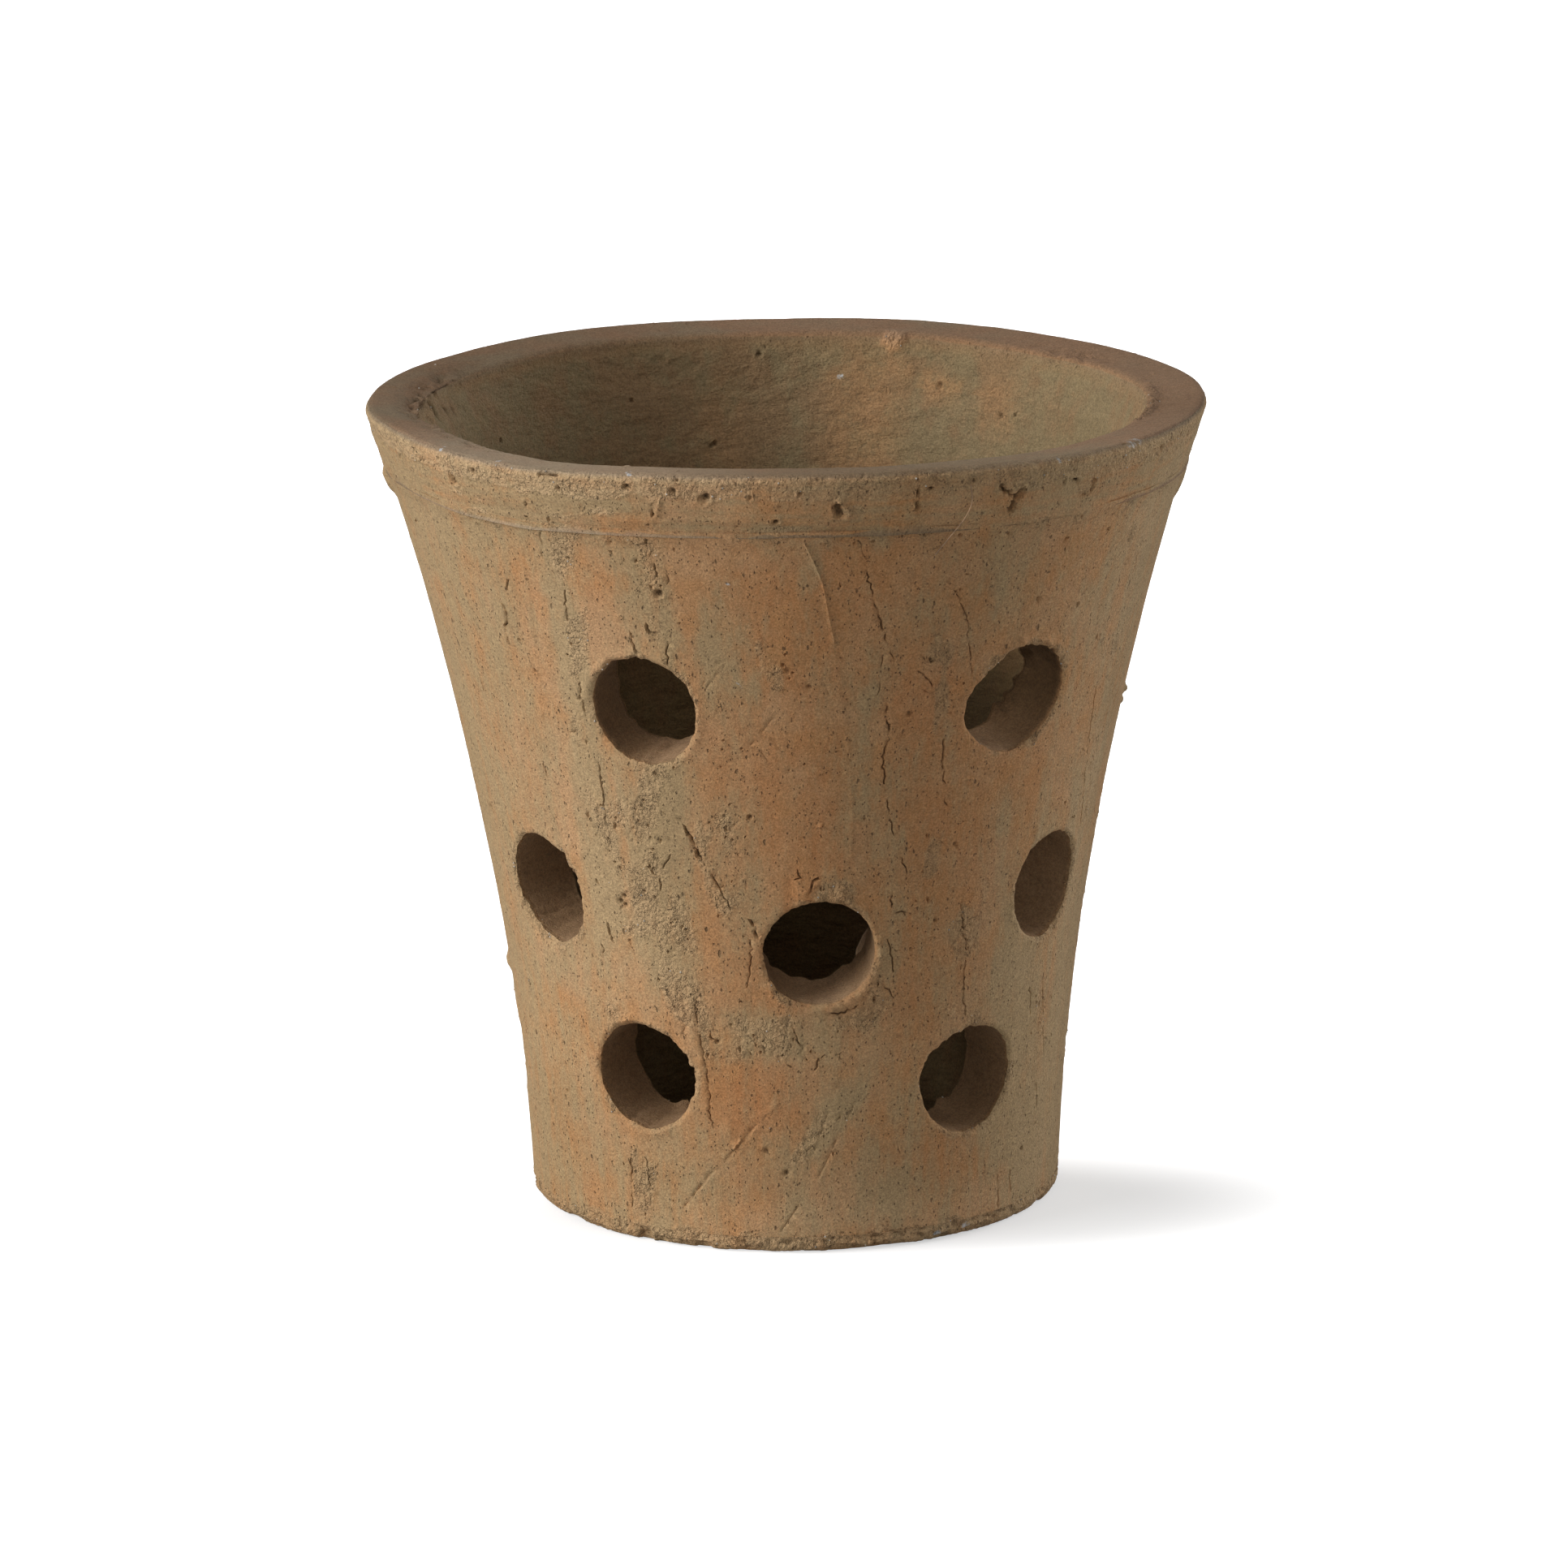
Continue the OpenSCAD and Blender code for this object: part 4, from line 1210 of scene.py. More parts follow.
def turning_tree():
    """Turns a section, given as the points of a mesh in the XZ plane, round the Z axis."""
    tree, nodes, given = geometry_tree("Turned clay", [
        ("Section", "NodeSocketObject", None),
        ("Section Points", "NodeSocketInt", 10),
        ("Columns", "NodeSocketInt", 360),
        ("Start", "NodeSocketFloat", 0.0),
        ("Joint Gap", "NodeSocketFloat", 0.000001),
        ("Material", "NodeSocketMaterial", None),
    ])
    section = nodes.add("GeometryNodeObjectInfo", {"Object": given["Section"]})
    columns = nodes.plus(given["Columns"], 1.0)
    grid = nodes.add("GeometryNodeMeshGrid", {"Vertices X": columns, "Vertices Y": given["Section Points"]})
    index = nodes.add("GeometryNodeInputIndex").outputs[0]
    row = nodes.sum("FLOORED_MODULO", index, given["Section Points"])
    column = nodes.sum("FLOOR", nodes.sum("DIVIDE", nodes.plus(index, 0.01), given["Section Points"]))
    turn = nodes.plus(nodes.times(nodes.sum("DIVIDE", column, given["Columns"]), 2 * math.pi), given["Start"])
    spot = nodes.add("GeometryNodeInputPosition").outputs[0]
    picked = nodes.add("GeometryNodeSampleIndex", {
        "Geometry": section.outputs["Geometry"], "Value": spot, "Index": row},
        data_type="FLOAT_VECTOR").outputs[0]
    split = nodes.add("ShaderNodeSeparateXYZ", {0: picked}).outputs
    x = nodes.times(split[0], nodes.sum("SINE", turn))
    y = nodes.times(split[0], nodes.times(nodes.sum("COSINE", turn), -1.0))
    place = nodes.add("ShaderNodeCombineXYZ", {0: x, 1: y, 2: split[2]}).outputs[0]
    turned = nodes.add("GeometryNodeSetPosition", {"Geometry": grid.outputs["Mesh"], "Position": place})
    kept = nodes.add("GeometryNodeStoreNamedAttribute", {
        "Geometry": turned.outputs[0], "Name": "row", "Value": row}, data_type="FLOAT", domain="POINT")
    joined = nodes.add("GeometryNodeMergeByDistance", {
        "Geometry": kept.outputs[0], "Distance": given["Joint Gap"]})
    finish_tree(nodes, joined.outputs[0], given["Material"])
    return tree


def turn_section(name, section, columns):
    """Turns a closed section of (radius, height) points in millimetres. Returns points, rows and faces."""
    section = np.asarray(section)
    holder = bpy.data.meshes.new(name + "_section")
    closed = np.concatenate([section, section[:1]])
    holder.from_pydata([(x * MM, 0, z * MM) for x, z in closed], [], [])
    stand = new_piece(name + "_section", holder)
    tree = bpy.data.node_groups.get("Turned clay") or turning_tree()
    mesh = grow(name, tree, {"Section": stand, "Section Points": len(closed), "Columns": columns,
                             "Start": math.radians(SEAM)})
    bpy.data.objects.remove(stand)
    points = np.zeros(len(mesh.vertices) * 3)
    mesh.vertices.foreach_get("co", points)
    rows = np.zeros(len(mesh.vertices))
    mesh.attributes["row"].data.foreach_get("value", rows)
    faces = [tuple(p.vertices) for p in mesh.polygons]
    bpy.data.meshes.remove(mesh)
    return points.reshape(-1, 3) / MM, np.round(rows).astype(int) % len(section), faces


def stretch_points(points, spacing):
    """Points along a bent line, at about a spacing, keeping its corners. Leaves out the last one."""
    out = []
    for a, b in zip(points[:-1], points[1:]):
        a, b = np.asarray(a, float), np.asarray(b, float)
        steps = max(1, int(round(np.hypot(*(b - a)) / spacing)))
        out += [a + (b - a) * i / steps for i in range(steps)]
    return out


def bend(x, z, radius, start, end, steps):
    """A round corner's points, angles in degrees."""
    turn = np.radians(np.linspace(start, end, steps + 1))
    return [(x + radius * math.cos(t), z + radius * math.sin(t)) for t in turn]


def section_normals(section):
    """Outward normals of a section that runs anticlockwise."""
    ahead, behind = np.roll(section, -1, 0), np.roll(section, 1, 0)
    run = ahead - behind
    normal = np.stack([run[:, 1], -run[:, 0]], -1)
    return normal / np.linalg.norm(normal, axis=1, keepdims=True)


def build_rim_band(name):
    """The band laid round the top: pitted outside, smoothed on top, crumbly at its edges."""
    form, density, _, _ = settings()
    skin, inner, _ = make_skin()
    outer, lumps, fine = skin.outer, skin.lumps, skin.fine
    proud, rounding = form.band_proud / MM, form.rim_round / MM
    lip, fall = form.lip_round / MM, form.band_fall / MM
    edge_z, lip_z = HEIGHT - rounding, HEIGHT - fall - lip
    low = BAND_Z - 1.6
    lip_x = inner.radius(lip_z) + lip
    face = [(outer.radius(z) + proud, z) for z in np.linspace(low, edge_z, 26)]
    top_edge = bend(RIM_R - rounding, edge_z, rounding, 18, 90, 5)
    top_lip = bend(lip_x, lip_z, lip, 90, 180, 6)
    middle = stretch_points([top_edge[-1], top_lip[0]], 0.85)[1:]
    inside = [(inner.radius(z), z) for z in np.linspace(lip_z, BAND_Z, 15)[1:]]
    under = [(inner.radius(BAND_Z) + 7, BAND_Z), (outer.radius(low) - 2.5, BAND_Z),
             (outer.radius(low) - 1.2, low + 0.2)]
    parts = (face, top_edge, middle, top_lip, inside, under)
    section = np.array(sum((list(part) for part in parts), []))
    points, rows, faces = turn_section(name, section, density.band_columns)
    ends = np.cumsum([len(part) for part in parts])
    lean = inner.lean(section[:, 1])
    ways = section_normals(section)
    ways[ends[3]:ends[4]] = np.stack([-np.cos(lean), np.sin(lean)], -1)[ends[3]:ends[4]]
    normals = ways[rows]
    on_face = rows < ends[0] + 3
    on_top = (rows >= ends[0] + 3) & (rows < ends[3] - 2)
    on_inside = (rows >= ends[3] - 2) & (rows < ends[4])

    az, z = az_of(points), points[:, 2]
    radius = reach(points)
    far = np.full(len(points), 50.0)
    _, stains = skin.outside(az, z, points, far)
    calm = skin.calm(points)

    # outside: a torn and pitted strip under the top edge, smears below it
    strip_z = 203.6 + 1.6 * lumps.at(points, (18, 18, 400)) + 0.9 * fine.at(points, (5, 5, 300))
    strip = smooth(z, strip_z - 1.0, strip_z + 0.6) * (0.8 + 0.2 * smooth(lumps.at(points, (50, 50, 400)), -0.6, 0.1))
    patch = 0.8 * smooth(lumps.rough(points + 40, (12, 12, 5), 3), 0.5, 0.8)
    torn = smooth(np.maximum(strip, patch) + 0.4 * lumps.rough(points, 4, 3), 0.3, 0.9)
    edge_strip = (1 - smooth(z, low + 0.5, low + 2.2 + 0.8 * lumps.at(points, 9))) * smooth(
        lumps.at(points + 80, (22, 22, 200)), -0.6, 0.1)
    torn = np.maximum(torn, 0.55 * edge_strip)
    crumbs = fine.crumbs(points, 1.7)
    drag = 0.1 * fine.at(points, (16, 16, 1.6)) + 0.09 * lumps.at(points, (30, 30, 3))
    deep = smooth(fine.rough(points + 60, (1.5, 1.5, 1.9), 2), 0.45, 0.75) * torn
    depth, dirt = skin.marks(az, z, points, skin.band_cracks, BAND_PITS, skin.nicks)
    for half, high, line in across_and_up(BAND_RIDGES):
        near, away = line_gap(az, z, radius, line)
        depth[near] -= high * (1 - smooth(away, 0.1 * half, 1.4 * half)) * (1 + 0.7 * fine.at(points[near], 1.6))
    thin = 1 - smooth(lumps.at(points + 500, (30, 30, 900)), -0.7, 0.1)
    raised = 1 - smooth(z, BAND_Z + 1, BAND_Z + 7)
    outside = calm + drag + torn * (-0.15 + 0.2 * crumbs) - 0.18 * deep - depth - 0.6 * proud * thin * raised
    outside -= 0.3 * (1 - smooth(z, low, low + 1.4))

    # top: nearly flat, crumbly at its inner edge on the left and the right
    worn_lip = zone(az, z, LIP_WORN)
    lip_gap = np.hypot(radius - lip_x, z - (HEIGHT - fall)) + 1.5 * fine.at(points, 5)
    nibble = worn_lip * (1 - smooth(lip_gap, 1.5, 5.5)) * smooth(fine.rough(points, 3, 3), -0.2, 0.5)
    top = 0.3 * lumps.at(points, 34) + 0.1 * lumps.at(points, 9) + 0.04 * fine.at(points, 2.2)
    soft_lip = sector(az, -98, 34)
    top -= (0.5 * worn_lip + 1.1 * soft_lip) * smooth(radius, lip_x + 7, lip_x - 0.5)
    spots, spot_dirt_and_shade = top_marks(az, radius, points, skin)
    top -= spots
    edge = smooth(RIM_R - radius, 0.2, 2.6)
    inner_relief, _ = skin.inside(points, far)
    lump = inner.place(*np.array(RIM_LUMP)[:, None])[0]
    knob = smooth(np.linalg.norm(points - lump, axis=1) + 0.8 * fine.at(points, 2.6), 4.6, 1.6) * (rows >= ends[1] + 6)
    crumbled = zone(az + 5 * fine.at(points, 6), z + 3 * lumps.at(points, 7), INNER_CRUMBS, 2) * (rows >= ends[2])
    crumbled = smooth(crumbled + 0.6 * fine.rough(points + 33, 4, 3), 0.45, 0.8)
    hollow, hollow_dirt_and_shade = skin.marks(az, z, points, [], INSIDE_PITS)
    hollow, hollow_dirt_and_shade = hollow * (rows >= ends[2] + 2), hollow_dirt_and_shade * (rows >= ends[2] + 2)
    rise = smooth(z, BAND_Z + 2, lip_z)
    relief = np.select([on_face, on_top, on_inside],
                       [outside, (1 - edge) * 0.4 * outside + edge * top,
                        (1 - rise) * inner_relief + rise * top], 0)
    relief += (0.9 + 0.3 * fine.at(points, 2)) * knob - 1.4 * nibble * (rows >= ends[0] + 3) * (rows < ends[4])
    relief += crumbled * (0.25 + 0.8 * fine.crumbs(points + 12, 2.6)) - hollow
    moved = points.copy()
    moved[:, :2] += (relief * normals[:, 0] / radius)[:, None] * points[:, :2]
    moved[:, 2] += relief * normals[:, 1]

    # the ledge wanders up and down
    at, rise = zip(*LEDGE_RISE)
    wander = 0.3 * lumps.at(points, (12, 12, 900)) + 0.25 * fine.at(points, (4, 4, 900)) + 0.15 * fine.at(
        points, (1.6, 1.6, 900)) + np.interp(az, at, rise, period=360)
    near = 1 - smooth(z, low + 0.5, low + 5)
    moved[:, 2] += np.where(on_face | (rows == ends[5] - 1), near * np.clip(wander, -1.2, 1.8), 0)
    lip_rows = smooth(rows, ends[2] + 1, ends[3] + 3)
    front = smooth(np.cos(np.radians(az)), 0.35, 0.8)
    # the rim's top face is darker overall, darker still at the back-left and lighter at the front-left: painted light
    # and shade for how the light falls on it
    top_light_and_shade = 0.36 * sector(az, -36, 30) - 0.13 * sector(az, -132, 38) - 0.28
    smear = zone(az + 4 * fine.at(points, 6), z + 3 * fine.at(points + 9, 5), INSIDE_WARM, 6)
    stains["film"] = np.maximum(stains["film"], (0.45 + 0.3 * lumps.at(points + 70, (14, 14, 5))) * on_face)
    right = smooth(np.sin(np.radians(az)), 0.2, 0.9)
    stains["warm"] = np.select([on_inside, on_top], [np.maximum(smear, knob), 0.5 + 0.5 * right - 0.5 * front],
                               stains["warm"])
    on_top_share = smooth(rows, ends[0] - 1, ends[0] + 3) * (1 - lip_rows)
    stains["chalk"] = stains["chalk"] * ((rows < ends[0] + 7) | on_inside)
    left = smooth(-wrap(az), -20, 10)
    # the tone stain takes the top face's painted light and shade, painted light on the torn strip at the left of the
    # band's face, and a lighter lump
    stains["tone"] = stains["tone"] + on_top_share * top_light_and_shade + 0.2 * on_face * torn * left + 0.25 * knob
    # the rim top's own colour thins a little at the front, painted light there; the dark of the band's pits, chips and
    # crumbled edges is dirt and painted shade
    stains.update(
        torn=np.select([on_face, on_top | on_inside],
                       [0.75 * torn, np.maximum.reduce([0.9 * nibble, 0.8 * knob, 0.9 * crumbled])], 0),
        dirt=np.select([on_face, on_top | on_inside],
                       [np.maximum(dirt, 0.22 * deep), np.maximum.reduce([spot_dirt_and_shade, 0.9 * hollow_dirt_and_shade, 0.3 * (
                           nibble + crumbled) * smooth(fine.at(points, 1.8), 0.25, 0.5)])], 0),
        bore=0 * az, top=on_top_share * (1 - 0.1 * front),
        inside=lip_rows * (rows < ends[4]) * (1 - 0.6 * np.maximum(knob, 0.6 * crumbled)))
    return new_object(name, moved, faces, stains, form)


def top_marks(az, radius, points, skin):
    """Chips and scores on the rim's top face: depth, and dirt with painted shade in them."""
    depth, dirt = np.zeros(len(az)), np.zeros(len(az))
    for spot_az, spot_r, wide, deep in TOP_CHIPS:
        far = np.hypot(np.radians(wrap(az - spot_az)) * radius, radius - spot_r) / wide
        share = 1 - smooth(far + 0.25 * skin.fine.at(points, 2), 0.2, 1.0)
        depth, dirt = np.maximum(depth, deep * share), np.maximum(dirt, min(1, deep) * share)
    for half, deep, path in across_and_up(TOP_CRACKS):
        near, gap = line_gap(az, radius, radius, path)
        share = 1 - smooth(gap + 0.3 * skin.fine.at(points[near], 3), 0.1 * half, half)
        depth[near] = np.maximum(depth[near], deep * share)
        dirt[near] = np.maximum(dirt[near], 0.9 * share)
    return depth, dirt


def build_floor_slab(name):
    """The floor slab: torn edge round the foot, flat underside, drain hole."""
    form, density, _, _ = settings()
    skin, inner, _ = make_skin()
    outer, lumps, fine = skin.outer, skin.lumps, skin.fine
    rounding, drain = form.foot_round / MM, form.drain_d / 2 / MM
    edge_r, inside_r = outer.radius(SLAB_EDGE_Z), inner.radius(FLOOR_Z)
    foot = bend(edge_r - rounding, rounding, rounding, -90, 0, 6)
    soft = 1.6
    mouth = bend(drain + soft, soft, soft, 180, 270, 4)
    top_mouth = bend(drain + soft, FLOOR_Z - soft, soft, 90, 180, 4)
    section = np.array(
        stretch_points([mouth[-1], foot[0]], 2.0)[1:] + foot
        + stretch_points([(edge_r, rounding + 0.5), (edge_r, SLAB_EDGE_Z)], 0.5)
        + [(edge_r, SLAB_EDGE_Z), (inside_r + 1.5, SLAB_EDGE_Z), (inside_r + 0.6, FLOOR_Z)]
        + stretch_points([(inside_r - 0.5, FLOOR_Z), top_mouth[0]], 1.7)
        + top_mouth + stretch_points([top_mouth[-1], mouth[0]], 1.5)[1:] + mouth[:-1])
    points, rows, faces = turn_section(name, section, density.columns)
    normals = section_normals(section)[rows]
    az, z = az_of(points), points[:, 2]
    radius = reach(points)
    out = points[:, :2] / radius[:, None]
    rim = smooth(radius, edge_r - 2.6, edge_r - 0.4)
    joint = smooth(z, SLAB_EDGE_Z - 0.6, SLAB_EDGE_Z)
    crumbs = fine.crumbs(points, (3.4, 3.4, 2.0), 3)
    layers = 0.25 * fine.at(points, (9, 9, 1.3))
    chipped = smooth(lumps.rough(points + 9, (16, 16, 6), 2), 0.0, 0.5)
    # the seam under the wall gapes a little in places
    gape = (0.35 + 0.5 * chipped) * joint
    relief = rim * (skin.calm(points) - 0.25 + 0.7 * crumbs + layers - 0.5 * chipped * (z < 2) - gape)
    notch, red = np.zeros(len(az)), np.zeros(len(az))
    for middle, half, deep, high in FOOT_NOTCHES:
        away = np.abs(wrap(az - middle)) / half + 0.3 * fine.at(points, 2.5)
        share = (1 - smooth(away, 0.2, 1.1)) * (1 - smooth(z, high * 0.4, high))
        notch = np.maximum(notch, deep * share)
        red = np.maximum(red, share * (deep > 2))
    relief -= rim * notch
    moved = points.copy()
    moved[:, :2] += (relief * normals[:, 0])[:, None] * out
    moved[:, 2] += np.abs(relief * normals[:, 1]) * (z < SLAB_EDGE_Z - 0.3) + rim * 0.8 * notch * (z < 1)
    under = smooth(-z, -0.3, -0.05)
    moved[:, 2] += under * (0.25 + 0.25 * lumps.at(points, 14) + 0.12 * fine.at(points, 2.5)) * (1 - rim)
    floor = (z > FLOOR_Z - 0.2) * 1.0
    moved[:, 2] += floor * (0.25 * lumps.at(points, 16) + 0.12 * fine.at(points, 4) - 0.3)
    hole = 1 - smooth(radius, drain + 0.3, drain + 2.5)
    ragged = 0.35 * lumps.at(points, 6) + 0.2 * fine.at(points, 2.4)
    moved[:, :2] += (hole * ragged)[:, None] * out
    # the foot's deep notches and the gaps between its edge crumbs are darkened: dirt, and painted shade in these
    # hollows
    stains = stain_set(
        len(az), torn=np.maximum(0.8 * rim, 0.5 * hole), warm=red, film=0.5,
        dirt=np.maximum(0.4 * smooth(notch, 0.8, 2.2), rim * smooth(0.3 - crumbs, 0.1, 0.35) * 0.6),
        bore=hole * (1 - floor) * (z > 0.3), inside=floor * (1 - hole),
        tone=tones(az, z, TONES), chalk=rim * zone(az + 1.2 * fine.at(points, 2.4), z, CHALK, 0.8))
    return new_object(name, moved, faces, stains, form)


# Materials


def rgba(value):
    return (*value, 1.0)


def clay_material(name, colours):
    """Weathered clay: grain, streaks, film, torn patches, dirt with painted shade in hollows, painted light and shade
    from the tone stain, and cut clay, from stains and noise.
    """
    material = bpy.data.materials.new(name)
    nodes = blank_nodes(material)
    where = nodes.add("ShaderNodeTexCoord").outputs["Object"]
    plus, times = nodes.plus, nodes.times

    def stain(key):
        return nodes.add("ShaderNodeAttribute", attribute_name=key, attribute_type="GEOMETRY").outputs["Fac"]

    def off(value, by):
        return times(nodes.sum("SUBTRACT", value, 0.5), by)

    def moved(stretch):
        return nodes.add("ShaderNodeMapping", {"Vector": where, "Scale": stretch}).outputs[0]

    def noise(scale, detail=4.0, stretch=None, rough=0.55):
        spot = moved(stretch) if stretch else where
        inputs = {"Vector": spot, "Scale": scale, "Detail": detail, "Roughness": rough}
        return nodes.add("ShaderNodeTexNoise", inputs).outputs[0]

    torn, dirt, film, warm, bore, inside, top, chalk, tone = (stain(key) for key in STAINS)
    wall = nodes.sum("SUBTRACT", 1.0, nodes.sum("MAXIMUM", nodes.sum("MAXIMUM", inside, bore), top), clamp=True)

    # base colour: orange clay, redder patches and a greenish-grey film that runs down in soft streaks
    streaks = noise(95, 6, (1, 1, 0.16), 0.62)
    fine_streaks = noise(380, 5, (1, 1, 0.12), 0.65)
    level_streaks = noise(120, 5, (0.25, 0.25, 3.2), 0.62)
    height_z = nodes.add("ShaderNodeSeparateXYZ", {0: where}).outputs[2]
    band = nodes.ease(height_z, 0.1925, 0.1955)
    streaks = plus(times(streaks, nodes.sum("SUBTRACT", 1.0, band)), times(level_streaks, band))
    blotches = noise(45, 6, rough=0.62)
    patches = noise(17, 4, (1, 1, 0.6))
    mottle = noise(150, 5, (1, 1, 0.6), 0.6)
    specks = noise(1900, 4, rough=0.75)
    grains = noise(640, 5, rough=0.7)
    base = nodes.mix(nodes.ease(blotches, 0.38, 0.64), rgba(colours.clay), rgba(colours.pale))
    warmth = times(warm, nodes.ease(plus(times(streaks, 0.5), times(mottle, 0.5)), 0.38, 0.55))
    warmth = plus(times(warmth, 0.85), nodes.ease(noise(60, 4, (1, 1, 0.5)), 0.5, 0.7, 0.0, 0.24))
    base = nodes.mix(warmth, base, rgba(colours.warm))
    filmy = plus(times(film, 0.36), 0.42, off(streaks, 0.9), off(patches, 0.6), off(fine_streaks, 0.5),
                 off(mottle, 0.6), off(grains, 0.25))
    film_share = nodes.ease(filmy, 0.32, 0.8, 0.0, 0.9)
    base = nodes.mix(film_share, base, rgba(colours.film))
    torn_share = nodes.ease(plus(torn, off(grains, 0.5)), 0.2, 0.9, 0.0, 0.5)
    base = nodes.mix(torn_share, base, rgba(colours.torn))
    smear = plus(times(level_streaks, 0.5), times(blotches, 0.5), off(warm, -0.3))
    smear = nodes.mix(nodes.ease(smear, 0.38, 0.62), rgba(colours.top), rgba(colours.top_grey))
    base = nodes.mix(times(top, 0.9), base, smear)
    inside_clay_with_shade = nodes.mix(nodes.ease(plus(times(mottle, 0.5), times(blotches, 0.5)), 0.42, 0.58),
                     rgba(colours.inside), rgba(colours.inside_warm))
    # the inside turns darker and redder lower down in the pot: painted shade deep inside
    deep = nodes.ease(plus(height_z, off(patches, 0.04)), 0.11, 0.19, 0.36, 1.0)
    red = nodes.ease(height_z, 0.11, 0.19, 0.62, 1.0)
    deep = nodes.add("ShaderNodeCombineColor", {
        0: deep, 1: times(deep, nodes.sum("POWER", red, 0.3)), 2: times(deep, red)}).outputs[0]
    inside_clay_with_shade = nodes.mix(1.0, inside_clay_with_shade, deep, "MULTIPLY")
    inside_clay_with_shade = nodes.mix(times(warm, nodes.ease(grains, 0.35, 0.55, 0.35, 0.9)), inside_clay_with_shade, rgba(colours.clay))
    base = nodes.mix(times(inside, 0.95), base, inside_clay_with_shade)
    cut = nodes.mix(nodes.ease(grains, 0.35, 0.65), rgba(colours.bore), rgba(colours.bore_dark))
    base = nodes.mix(times(bore, 0.92), base, cut)

    # pits too small to model: upright on the wall, most of them in torn clay; their dark is painted shade in the pit
    wobble = nodes.add("ShaderNodeTexNoise", {"Vector": where, "Scale": 900.0, "Detail": 2.0}).outputs["Color"]

    def shaken(spot, by):
        """A place shifted by the wobble."""
        shift = nodes.add("ShaderNodeVectorMath", {0: wobble, 1: (by,) * 3}, operation="MULTIPLY").outputs[0]
        return nodes.add("ShaderNodeVectorMath", {0: shift, 1: spot}, operation="ADD").outputs[0]

    pit = None
    for scale, low, high, calm_rate, torn_rate, stretch in PORES:
        spot = shaken(moved(stretch), 0.0009)
        cells = nodes.add("ShaderNodeTexVoronoi", {"Vector": spot, "Scale": scale, "Randomness": 1.0})
        lottery = nodes.add("ShaderNodeSeparateColor", {0: cells.outputs["Color"]}).outputs[0]
        drawn = nodes.sum("GREATER_THAN", lottery, nodes.ease(torn, 0.1, 0.9, calm_rate, torn_rate))
        found = times(nodes.ease(cells.outputs["Distance"], low, high, 1.0, 0.0), drawn)
        pit = found if pit is None else nodes.sum("MAXIMUM", pit, found)
    pit = times(pit, plus(times(wall, 0.75), 0.25))
    # thin curly rips, and crumbs with dark gaps, where the clay is torn; the dark of rips and gaps is painted shade
    curl = nodes.sum("ABSOLUTE", nodes.sum("SUBTRACT", noise(330, 3, (1, 1, 0.7), 0.6), 0.5))
    rip = times(nodes.ease(curl, 0.006, 0.03, 1.0, 0.0),
                nodes.ease(plus(times(torn, 0.55), off(noise(150, 3), 1.6)), 0.25, 0.6))
    rip = times(rip, wall)
    spot = shaken(where, 0.0012)
    crumb = nodes.add("ShaderNodeTexVoronoi", {"Vector": spot, "Scale": 880.0, "Randomness": 1.0}).outputs[0]
    crumb = times(nodes.ease(crumb, 0.3, 0.8), torn)
    # pits, rips, crumb gaps and the dirt stain draw the clay towards the dirt colour: dirt, and painted shade in
    # hollows
    hollow = nodes.sum("MAXIMUM", times(pit, 0.9), nodes.ease(dirt, 0.15, 0.9, 0.0, 0.95), clamp=True)
    hollow = nodes.sum("MAXIMUM", hollow, plus(times(rip, 0.2), times(crumb, 0.04)), clamp=True)
    base = nodes.mix(times(hollow, 0.8), base, rgba(colours.dirt))
    base = nodes.mix(nodes.ease(plus(chalk, off(noise(700, 4, rough=0.7), 1.6)), 0.45, 0.85, 0.0, 0.75),
                     base, rgba(colours.chalk))

    # brightness of single grains: partly the grain's own colour, partly painted shade in its low spots and painted
    # highlight on its high spots, from the same noise as the bump
    shade = times(nodes.ease(specks, 0.28, 0.74, 0.68, 1.32), nodes.ease(grains, 0.28, 0.72, 0.93, 1.07),
                  nodes.ease(noise(210, 4), 0.3, 0.7, 0.97, 1.03))
    # the tone stain multiplies in lighter and darker clay and the painted light and shade of the bores, the rim top
    # and the inside; darker tones turn redder
    tint = (times(shade, nodes.sum("POWER", tone, power)) for power in (0.92, 1.0, 1.2))
    tint = nodes.add("ShaderNodeCombineColor", dict(enumerate(tint))).outputs[0]
    base = nodes.mix(1.0, base, tint, "MULTIPLY")

    # bump: fine grain everywhere, coarse grain where torn, daubs round the inside
    height = plus(
        times(specks, 0.42), times(grains, 0.2), times(noise(1250, 3, rough=0.65), torn, 1.4),
        times(fine_streaks, wall, 0.35), times(noise(210, 5, (0.7, 0.7, 1.5), 0.6), inside, 2.6),
        times(noise(420, 4, rough=0.7), bore, 0.6))
    height = nodes.sum("SUBTRACT", height, plus(times(pit, 1.0), plus(times(rip, 0.7), times(crumb, 0.5))))
    bump = nodes.add("ShaderNodeBump", {"Strength": 1.0, "Distance": 0.0006, "Height": height}).outputs[0]
    roughness = nodes.ease(film_share, 0.0, 1.0, 0.93, 0.84)
    shader = nodes.add("ShaderNodeBsdfPrincipled", {
        "Base Color": base, "Roughness": roughness, "Normal": bump, "Specular IOR Level": 0.25})
    nodes.add("ShaderNodeOutputMaterial", {"Surface": shader.outputs[0]})
    return material


